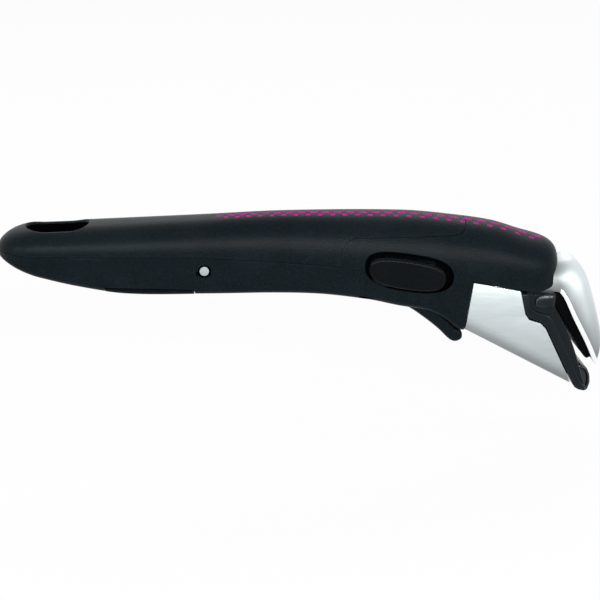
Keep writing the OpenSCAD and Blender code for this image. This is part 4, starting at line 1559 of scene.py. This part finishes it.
@dataclass
class ReleaseButton:
    """A press button with a flat face and a wide rounded rim, narrower toward the pan.

    Attributes:
        side: the side of the handle that it is on.
        face: how far its face is from the middle plane.
        rim: the radius of its rim.
        plunger: the radius of its plunger, and how far the plunger's end is from the middle plane.
        tip: the plunger's end against its radius.
        flange: where the flange starts and ends, and how far it stands out.
        flare: where the plain body ends and the full outline starts.
        swell: how much wider than its outline it is where that starts, and under the rim.
        centre: its middle.
        slot: the plain body's length, width and tilt.
        outline: its outline just under the rim, as x and z.
    """

    side: Side
    face: float = 19.8
    rim: float = 1.5
    plunger: Point2 = (2.5, 3.0)
    tip: float = 0.84
    flange: Point3 = (10.8, 11.8, 1.2)
    flare: Point2 = (15.7, 16.7)
    swell: Point2 = (0.1, 0.12)
    centre: Point2 = (-60.6, 18.6)
    slot: Point3 = (30, 11, 7)
    outline: list[Point2] = field(default_factory=lambda: [
        (-76.3, 21.4), (-76.2, 23.4), (-75.7, 24.8), (-74.2, 25.9), (-71.6, 26.4), (-67.9, 26.3),
        (-62.3, 25.6), (-56.7, 24.5), (-51.6, 23.1), (-48.3, 21.6), (-46.6, 19.7), (-46.2, 17.2),
        (-47.0, 14.8), (-49.0, 13.1), (-52.7, 12.6), (-57.3, 12.9), (-62.0, 13.6), (-66.7, 14.6),
        (-70.5, 15.8), (-73.6, 17.4), (-75.5, 19.5)])

    def build(self) -> Piece:
        """Makes the button with its flange and plunger.

        Returns:
            The piece.
        """
        line, r, s = round_outline(self.outline, 6), self.rim, self.side.value
        cx, cz = self.centre
        length, width, tilt = self.slot
        slot = obround(length, width, self.centre, tilt, 200)

        def way(x: float, z: float) -> float:
            """The direction of a place from the middle."""
            return math.atan2(z - cz, x - cx)

        angles = [way(x, z) for x, z in line]
        inner = [min(slot, key=lambda q, a=a: abs(math.remainder(way(*q) - a, 2 * math.pi))) for a in angles]
        thick, end = self.plunger
        stem = [(cx + thick * math.cos(a), cz + thick * math.sin(a)) for a in angles]
        tip = [((x - cx) * self.tip + cx, (z - cz) * self.tip + cz) for x, z in stem]
        low, high, out = self.flange
        flange = grown(inner, out)
        (body_end, rim_start), (first, swell) = self.flare, self.swell
        rings = [(end, tip), (end + 0.4, stem), (low, stem), (low, flange), (high, flange), (high, inner),
                 (body_end, inner), (rim_start, grown(line, first)), (self.face - r, grown(line, swell))]
        for k in range(1, 8):
            a = math.radians(90 * k / 7)
            rings.append((self.face - r + r * math.sin(a), grown(line, swell - r * (1 - math.cos(a)))))
        rings.append((self.face - 0.02, grown(line, -r - 0.5)))
        button = skin(f"{self.side.word}_press_button", [[(x, s * y, z) for x, z in pts] for y, pts in rings])
        tuck(button)
        smooth(button, 40)
        BUTTON_BLACK.dress(button)
        name = f"{self.side.word}_button"
        return stand_for(button, name, name)


@dataclass
class ReturnSpring:
    """The coil spring behind a press button.

    Attributes:
        side: the side of the handle that it is on.
        travel: how far the button goes in. Not used.
    """

    side: Side
    travel: float = 2.4

    def build(self) -> Piece:
        """Makes the spring, seated on the carrier plate.

        Returns:
            The piece.
        """
        side = self.side.word
        node = f"{side}_button_spring"
        low, high = (Vector(corner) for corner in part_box(node))
        seat = (low + high) / 2
        seat.y = min(low.y, high.y, key=abs)
        spring = copy_of_node(node, f"{side}_return_spring", 1)
        smooth(spring, 75)
        SPRING_STEEL.dress(spring)
        stand_for(spring, node, "handle")
        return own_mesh(spring)


@dataclass
class PivotPin:
    """The lever's pivot pin, with turned ends.

    Attributes:
        radius: its radius.
        reach: half its length.
        turned: how far the turned ends reach along it, and the share of the radius that they take.
        step: how far the turned end's last ring is in from the side, and from the end.
    """

    radius: float = 1.9
    reach: float = 13.2
    turned: float = 0.35
    step: Point2 = (0.12, 0.08)

    def build(self) -> Piece:
        """Makes the pin.

        Returns:
            The piece.
        """
        narrower, inward = self.step
        wide = self.radius
        ends = [(wide * (1 - self.turned), 0.0), (wide - narrower, inward), (wide, self.turned)]
        steps = [(r, -self.reach + d) for r, d in ends] + [(r, self.reach - d) for r, d in reversed(ends)]
        pin = skin("turned_pivot_pin", [[(x, y, z) for x, z in circle(r, PIVOT, 40)] for r, y in steps])
        smooth(pin, 40)
        PIN_STEEL.dress(pin)
        return stand_for(pin, "lever_pivot_pin", "handle")


# ---- Hook ----


@dataclass
class RimHook:
    """The steel hook that goes over the rim, with its edges painted bright as a highlight, and the black pad
    inside it.

    Attributes:
        root: its width in the head.
        width: its width at the front.
        sheet: the sheet's thickness.
        power: how full its arc is.
        band: the width of the edges painted bright as a highlight.
        proud: how far they stand out.
        sunk: how far they reach into the sheet.
        soft: the radius of their own edges.
        hidden: how many rings are inside the head, without bright edges.
        stations: x and z of its edge, x and z of its crown, and how much of its widening is reached.
    """

    root: float = 24.4
    width: float = 30.0
    sheet: float = 1.8
    power: float = 2.6
    band: float = 1.8
    proud: float = 0.35
    sunk: float = 0.9
    soft: float = 0.2
    hidden: int = 12
    stations: list[tuple[float, ...]] = field(default_factory=lambda: [
        (-12, 8.9, -12, 19.6, 0), (-5, 8.9, -5, 19.6, 0), (0, 8.9, 1, 19.8, 0.05), (1.8, 7.6, 5.5, 21, 0.2),
        (3.2, 5.3, 9, 19.7, 0.4), (4.6, 2.3, 13, 14.8, 0.65), (6.6, -2, 16, 7, 0.85),
        (9.3, -7.2, 18.2, -0.5, 1), (11.7, -11.8, 19.9, -7.4, 1), (13.5, -15.6, 20.6, -12.6, 1),
        (15, -19, 19.8, -16.8, 1), (16.2, -21, 17.8, -20.2, 1)])

    def _station(self, row: np.ndarray) -> tuple[np.ndarray, np.ndarray, float, float]:
        """Reads one station.

        Args:
            row: its numbers.

        Returns:
            Its edge, the direction from there to its crown, the distance between them, and its half width.
        """
        edge, crown = row[0:2], row[2:4]
        rise = float(np.linalg.norm(crown - edge))
        half = (self.root + (self.width - self.root) * float(row[4])) / 2
        return edge, (crown - edge) / rise, rise, half

    def _arc(self, row: np.ndarray, inset: float, steps: int = 44) -> Ring:
        """The half-round arc at a station, from the left edge to the right edge.

        Args:
            row: the station.
            inset: how far it is moved inward.
            steps: how many faces it has.

        Returns:
            The arc's points.
        """
        edge, way, rise, half = self._station(row)
        reach = max(0.15, rise - inset)
        out: Ring = []
        for k in range(steps + 1):
            a = math.pi * k / steps
            q = edge + way * (reach * fuller(math.sin(a), self.power))
            out.append((float(q[0]), (half - inset) * fuller(math.cos(a), self.power), float(q[1])))
        return out

    def _edge_band(self, rows: np.ndarray, side: Side) -> Piece:
        """The flat band along one edge, painted bright as a highlight.

        Args:
            rows: the stations that it runs along.
            side: the edge's side.

        Returns:
            The band.
        """
        r = self.soft
        rings: list[Ring] = []
        for row in rows:
            edge, way, rise, half = self._station(row)
            wide = min(self.band, 0.8 * rise)
            ring: Ring = []
            for cu, cy, start in ((1, 1, 0), (0, 1, 90), (0, 0, 180), (1, 0, 270)):
                for k in range(4):
                    a = math.radians(start + 30 * k)
                    q = edge + way * ((wide - r if cu else r / 2) + r * math.cos(a))
                    y = half + (self.proud - r if cy else -self.sunk) + r * math.sin(a)
                    ring.append((float(q[0]), side.value * y, float(q[1])))
            rings.append(ring)
        band = skin(f"hook_band_{side.word}", rings)
        # The band's steel is a lighter copy: a painted highlight.
        EDGE_HIGHLIGHT_STEEL.dress(band)
        return band

    def build(self) -> list[Piece]:
        """Makes the hook and its pad.

        Returns:
            Both pieces.
        """
        rows = catmull(np.array(self.stations, float), 5)
        hook = skin("bright_rim_hook", [self._arc(row, 0) + self._arc(row, self.sheet)[::-1] for row in rows])
        round_edges(hook, 0.4, 3, 50)
        # The hook's steel carries painted shade toward the head.
        HOOK_STEEL.dress(hook)
        bands = [self._edge_band(rows[self.hidden:], side) for side in Side]
        only(hook, *bands)
        bpy.ops.object.join()
        smooth(hook, 40)
        tuck(hook)
        pad = copy_of_node("hook_core", "moulded_hook_pad")
        round_edges(pad, 0.45, 2, 40)
        smooth(pad, 40)
        PAD_BLACK.dress(pad)
        return [stand_for(hook, "rim_hook", "jaw"),
                stand_for(pad, "hook_core", "jaw")]


# ---- Skirt, clamp frame and foot ----


@dataclass
class ClampHead:
    """The bent steel skirt, the black clamp frame on its toe, and the foot in the frame's window.

    Attributes:
        skirt_width: the skirt's width.
        sheet: the skirt's thickness.
        bend: the outer radius of its bends.
        heel: where its floor starts, at the rear, as x and z.
        toe: where its floor ends.
        cheek: the skirt's side outline.
        frame_edge: the frame's rear edge seen from the side, from the top down.
        step_line: the front of the thicker part of its cheeks.
        front_edge: the front of its cheeks.
        core_front: the front of its core, from the bottom up.
        core_half: half its width.
        plug: the part of the frame that stands in the skirt.
        plug_half: half its width.
        window: the opening for the foot.
        window_half: half its width.
        cheeks: each part of a cheek: its name, where it starts and ends from the middle plane, and its
            rounding.
        block: the raised block at the top of each cheek.
        block_lean: how far the block's face leans inward, in degrees.
        block_axis: the line that it leans about, as y and z in metres.
        pins: where the foot's pins are.
        pin_bore: the radius of their bores.
        pin_reach: how far the bores go into each side of the frame, from the middle plane.
        foot: the foot's outline.
        foot_half: half its width.
        foot_hollow: the outline of the hollow in its lip.
        hollow_rings: that hollow's rings, as distances from the middle plane and how much each is grown.
    """

    skirt_width: float = 32.4
    sheet: float = 1.2
    bend: float = 4.0
    heel: Point2 = (-37.4, -5.2)
    toe: Point2 = (6.9, -29.7)
    cheek: list[Point2] = field(default_factory=lambda: [
        (-34.6, 14.6), (-16, 10.8), (-15.6, 9.9), (-13.6, 1.2), (-11.9, -1.3), (-7.2, -2.9), (-5, -5.3),
        (6.9, -29.7), (6.9, -40), (-37.4, -40), (-37.4, -5.2)])
    frame_edge: list[Point2] = field(default_factory=lambda: [
        (-15.3, 9.5), (-14.3, 5.2), (-13.3, 1.6), (-12.6, 0.2), (-11.3, -0.8), (-9.2, -1.5), (-7.2, -2.4),
        (-5.6, -3.9), (-4.5, -5.4), (-0.4, -13.6), (3.6, -21.8), (7.2, -29.1), (8.2, -30.6), (9.8, -31.6),
        (12.5, -32.2)])
    step_line: list[Point2] = field(default_factory=lambda: [
        (-12.6, 9.5), (-11.6, 5.2), (-10.9, 3.4), (-9.6, 2.2), (-6.6, 1.2), (-4.0, 0.2), (-2.3, -1.6),
        (-0.6, -4.8), (4.1, -14.6), (8.0, -23.6), (10.4, -28.4), (12.5, -30.2)])
    front_edge: list[Point2] = field(default_factory=lambda: [
        (-1.6, 9.2), (-1.6, 4.2), (-0.6, 2.0), (1.6, -1.9), (4.0, -6.6), (6.3, -11.6), (8.3, -17.0),
        (10.0, -22.8), (12.9, -30.9)])
    core_front: list[Point2] = field(default_factory=lambda: [
        (8.3, -23.4), (4.6, -12.3), (0.1, -2.5), (-1.2, 0.2), (-2.2, 3.2), (-2.2, 9.2)])
    core_half: float = 13.4
    plug: list[Point2] = field(default_factory=lambda: [
        (-10, -1.6), (-6.9, -2.5), (-4.5, -5.1), (5.4, -25.4), (1.6, -23.6), (-10.4, -8)])
    plug_half: float = 13.2
    window: list[Point2] = field(default_factory=lambda: [(-30, -3.5), (6, -3.5), (16, -27.5), (-20, -27.5)])
    window_half: float = 10.5
    cheeks: tuple[tuple[str, float, float, float], ...] = (
        ("cheek_front", 13.0, 15.5, 0.6), ("cheek_rear", 13.3, 16.4, 0.55), ("cheek_block", 13.6, 16.9, 0.7))
    block: list[Point2] = field(default_factory=lambda: [
        (-9.9, 4.5), (-9.5, 7.4), (-8.6, 8.7), (-6.2, 9.35), (-2.0, 9.3), (-1.55, 7.7), (-2.05, 3.6),
        (-4.4, 4.4), (-6.2, 3.6)])
    block_lean: float = 15
    block_axis: Point2 = (0.0169, 0.0055)
    pins: tuple[Point2, ...] = ((0, -9), (4.6, -20.5))
    pin_bore: float = 1.03
    pin_reach: float = 13.15
    foot_half: float = 10.3
    foot: list[Point2] = field(default_factory=lambda: [
        (-4, -3.8), (0.7, -3.8), (4.8, -12.3), (7.9, -21.4), (9.3, -23.2), (12, -23.2), (14.5, -24.5),
        (15.9, -27.6), (16.2, -31), (15.3, -34.1), (13.7, -34.8), (12.9, -32.3), (10.6, -27.2),
        (6.6, -27.2), (3.8, -25.2)])
    foot_hollow: list[Point2] = field(default_factory=lambda: [
        (11.0, -24.6), (12.6, -24.9), (14.0, -26.2), (14.8, -28.6), (14.7, -31.4), (14.0, -32.6),
        (13.4, -31.0), (12.2, -27.6)])
    hollow_rings: tuple[Point2, ...] = (
        (12, 0.35), (10.3, 0.3), (10.0, 0.1), (9.6, 0), (9.2, -0.2), (9.1, -0.5))

    def _skirt(self) -> Piece:
        """The bent sheet, cut to its side outline, with its cut edges painted bright as a highlight.

        Returns:
            The skirt.
        """
        w, b, t, tall = self.skirt_width / 2, self.bend, self.sheet, 60.0
        k = b - t
        turn = [math.radians(a) for a in range(0, 91, 6)]
        outer = [(-w, tall)] + [(-(w - b) - b * math.cos(a), b - b * math.sin(a)) for a in turn]
        outer += [(w - b + b * math.sin(a), b - b * math.cos(a)) for a in turn] + [(w, tall)]
        inner = [(w - t, tall)] + [(w - b + k * math.cos(a), b - k * math.sin(a)) for a in turn]
        inner += [(-(w - b) - k * math.sin(a), b - k * math.cos(a)) for a in turn] + [(-w + t, tall)]
        skirt = prism("bent_front_skirt", outer + inner, Axis.X, -40, 80)
        angle = math.atan2(self.heel[1] - self.toe[1], self.toe[0] - self.heel[0])

        def lean() -> None:
            """Turns the level channel down toward the toe and moves it to the heel."""
            bpy.ops.transform.rotate(value=-angle, orient_axis="Y", center_override=(0, 0, 0),
                                     orient_type="GLOBAL")
            bpy.ops.transform.translate(value=(self.heel[0] * MM, 0, self.heel[1] * MM))

        edit(skirt, lean)
        combine(skirt, prism("cheek", self.cheek, Axis.Y, *ACROSS), Cut.KEEP_COMMON)
        # The skirt's steel carries painted shade toward its lower edge.
        SATIN_STEEL.dress(skirt)
        # The bevels get the lighter steel: a painted highlight on the cut edges.
        skirt.data.materials.append(EDGE_HIGHLIGHT_STEEL.make())
        modify(skirt, "BEVEL", width=0.2 * MM, segments=2, limit_method="ANGLE", angle_limit=math.radians(50),
               material=1)
        smooth(skirt, 40)
        return stand_for(skirt, "front_skirt", "handle")

    def _frame(self) -> Piece:
        """The clamp frame: a core, a stepped cheek on each side and a raised block at the top of each.

        Returns:
            The frame.
        """
        core = prism("moulded_clamp_frame", self.frame_edge + self.core_front, Axis.Y,
                     -self.core_half, self.core_half)
        combine(core, prism("plug", self.plug, Axis.Y, -self.plug_half, self.plug_half), Cut.JOIN)
        lines = {"cheek_front": self.frame_edge + self.front_edge[::-1],
                 "cheek_rear": self.frame_edge + self.step_line[::-1], "cheek_block": self.block}
        for side in Side:
            for name, low, high, edge in self.cheeks:
                piece = prism(name, lines[name], Axis.Y, *side.reach(low, high))
                if name == "cheek_block":
                    self._slope(piece, side)
                round_edges(piece, edge, 3, 60)
                combine(core, piece, Cut.JOIN)
        combine(core, prism("window", self.window, Axis.Y, -self.window_half, self.window_half))
        combine(core, prism("hook_room", oblong((-13, 8.2), (13, 30)), Axis.X, -30, 30))
        self._bore_pins(core, self.pin_reach)
        tidy_faces(core)
        smooth(core, 36)
        FRAME_BLACK.dress(core)
        return stand_for(core, "clamp_frame", "handle")

    def _bore_pins(self, obj: Piece, reach: float) -> None:
        """Cuts the bores of the foot's pins.

        Args:
            obj: the frame or the foot.
            reach: how far the bores go to each side of the middle plane.
        """
        for at in self.pins:
            combine(obj, prism("pin_bore", circle(self.pin_bore, at, 24), Axis.Y, -reach, reach))

    def _slope(self, block: Piece, side: Side) -> None:
        """Leans a block's outer face inward toward its top.

        Args:
            block: the raised block.
            side: the side that it is on.
        """
        y, z = self.block_axis

        def steps() -> None:
            """Selects the outer face and turns it."""
            bpy.ops.mesh.select_all(action="DESELECT")
            bpy.ops.object.mode_set(mode="OBJECT")
            for v in block.data.vertices:
                v.select = v.co.y * side.value > 0.0165
            bpy.ops.object.mode_set(mode="EDIT")
            bpy.ops.transform.rotate(value=-side.value * math.radians(self.block_lean), orient_axis="X",
                                     center_override=(0, side.value * y, z), orient_type="GLOBAL")

        edit(block, steps)

    def _foot(self) -> Piece:
        """The foot, with a soft lip hollowed at its sides.

        Returns:
            The foot.
        """
        foot = prism("moulded_support_foot", self.foot, Axis.Y, -self.foot_half, self.foot_half)
        round_edges(foot, 0.9, 4, 14)
        hollow = round_outline(self.foot_hollow, 4)
        for side in Side:
            rings = [[(x, side.value * y, z) for x, z in grown(hollow, by)] for y, by in self.hollow_rings]
            combine(foot, skin("lip_hollow", rings))
        self._bore_pins(foot, ACROSS[1])
        smooth(foot, 36)
        tuck(foot)
        # The lighter black is painted light on the foot.
        FOOT_LIT_BLACK.dress(foot)
        return stand_for(foot, "support_foot", "handle")

    def build(self) -> list[Piece]:
        """Makes the three pieces.

        Returns:
            The skirt, the frame and the foot.
        """
        return [self._skirt(), self._frame(), self._foot()]


# ---- Studio ----


@dataclass(frozen=True)
class Lamp:
    """A soft rectangular lamp, in metres.

    Attributes:
        name: its name.
        at: where it is.
        to: where it points.
        size: its length and width.
        watts: its power.
    """

    name: str
    at: Point3
    to: Point3
    size: tuple[float, float]
    watts: float

    def build(self) -> None:
        """Puts the lamp in the scene."""
        data = bpy.data.lights.new(self.name, "AREA")
        data.shape = "RECTANGLE"
        data.size, data.size_y = self.size
        data.energy = self.watts
        lamp = bpy.data.objects.new(self.name, data)
        lamp.location = self.at
        lamp.rotation_euler = (Vector(self.to) - Vector(self.at)).to_track_quat("-Z", "Y").to_euler()
        bpy.context.scene.collection.objects.link(lamp)


@dataclass
class Studio:
    """The pale floor, the level light and the camera.

    Attributes:
        floor_z: the floor's height, in millimetres. The open lever clears it.
        floor_glow: how much of the floor shows as plain white.
        world_level: the strength of the light from all round.
        lens: the camera's focal length, in millimetres.
        camera_at: where the camera is, in metres.
        camera_way: the direction that it looks in.
        lamps: the lamps.
    """

    floor_z: float = -54.0
    floor_glow: float = 0.93
    world_level: float = 0.55
    lens: float = 90
    camera_at: Point3 = (-0.1513, -0.5685, 0.1898)
    camera_way: Point3 = (0.0829, 0.9474, -0.3090)
    lamps: tuple[Lamp, ...] = (
        Lamp("strip_over_camera", (-0.14, -1.10, 0.52), (-0.12, 0, 0.02), (1.5, 0.09), 14.0),
        Lamp("rear_side", (-1.25, -0.75, 0.42), (-0.1, 0, 0.01), (0.35, 0.35), 3.0),
        Lamp("front_side", (0.95, -0.85, 0.40), (-0.03, 0, 0.01), (0.3, 0.3), 2.2),
        Lamp("rear_top", (-0.1, 0.95, 0.85), (-0.1, 0, 0), (1.4, 0.4), 5.0))

    def build(self) -> None:
        """Sets up floor, world, lamps and camera."""
        self._world()
        self._floor()
        for lamp in self.lamps:
            lamp.build()
        self._camera()
        bpy.context.scene.view_settings.view_transform = "Standard"

    def _seen(self, tree: Tree) -> Socket:
        """A factor that is 1 where the background is seen directly, mirrored or through glass.

        Args:
            tree: the nodes that it is added to.

        Returns:
            The factor.
        """
        path = tree.nodes.new("ShaderNodeLightPath")
        total = path.outputs["Is Camera Ray"]
        for name in ("Is Glossy Ray", "Is Transmission Ray"):
            most = tree.nodes.new("ShaderNodeMath")
            most.operation = "MAXIMUM"
            tree.links.new(total, most.inputs[0])
            tree.links.new(path.outputs[name], most.inputs[1])
            total = most.outputs[0]
        return total

    def _world(self) -> None:
        """A white surround that lights the object at a plain level."""
        world = bpy.data.worlds.new("studio")
        bpy.context.scene.world = world
        world.use_nodes = True
        tree = world.node_tree
        light = tree.nodes["Background"]
        light.inputs["Color"].default_value = (1, 1, 1, 1)
        light.inputs["Strength"].default_value = self.world_level
        seen = tree.nodes.new("ShaderNodeBackground")
        seen.inputs["Color"].default_value = (1, 1, 1, 1)
        target = tree.nodes["World Output"].inputs["Surface"]
        mixed(tree, self._seen(tree), light.outputs[0], seen.outputs[0], target)

    def _floor(self) -> None:
        """A wide pale floor that shows white and keeps the shadow."""
        bpy.ops.object.select_all(action="DESELECT")
        bpy.ops.mesh.primitive_plane_add(size=6, location=(0, 0, self.floor_z * MM))
        floor = bpy.context.object
        floor.name = "floor"
        mat = bpy.data.materials.new("pale_floor")
        mat.use_nodes = True
        tree = mat.node_tree
        paint = tree.nodes["Principled BSDF"]
        paint.inputs["Base Color"].default_value = (0.8, 0.8, 0.8, 1)
        paint.inputs["Roughness"].default_value = 0.9
        paint.inputs["Specular IOR Level"].default_value = 0.1
        glow = tree.nodes.new("ShaderNodeEmission")
        glow.inputs["Strength"].default_value = 1.0
        share = scaled(tree, self._seen(tree), self.floor_glow)
        mixed(tree, share, paint.outputs[0], glow.outputs[0], tree.nodes["Material Output"].inputs["Surface"])
        floor.data.materials.append(mat)

    def _camera(self) -> None:
        """A long lens at the right side, a little above and behind."""
        data = bpy.data.cameras.new("camera")
        data.lens = self.lens
        data.sensor_width = 36
        camera = bpy.data.objects.new("camera", data)
        camera.location = self.camera_at
        camera.rotation_euler = Vector(self.camera_way).to_track_quat("-Z", "Y").to_euler()
        bpy.context.scene.collection.objects.link(camera)
        bpy.context.scene.camera = camera


def dress_inner_nodes() -> None:
    """Gives every CAD node that stays its own finish by its record slot."""
    by_slot = {finish.slot: finish for finish in (
        ZINC_STEEL, PIN_STEEL, SPRING_STEEL, GUIDE_BLACK, SATIN_STEEL, FRAME_BLACK, GRIP_BLACK)}
    for part in frame["record"]["subparts"]:
        by_slot[part["material_slot"]].repaint(part["node"])
    PAD_BLACK.repaint("hook_core")


def main() -> None:
    """Builds every piece in order and reports it."""
    dress_inner_nodes()
    Housing().build()
    CrownDashes().build()
    Lever().build()
    for side in Side:
        ReleaseButton(side).build()
        ReturnSpring(side).build()
    PivotPin().build()
    RimHook().build()
    ClampHead().build()
    Studio().build()


if __name__ == "__main__":
    main()
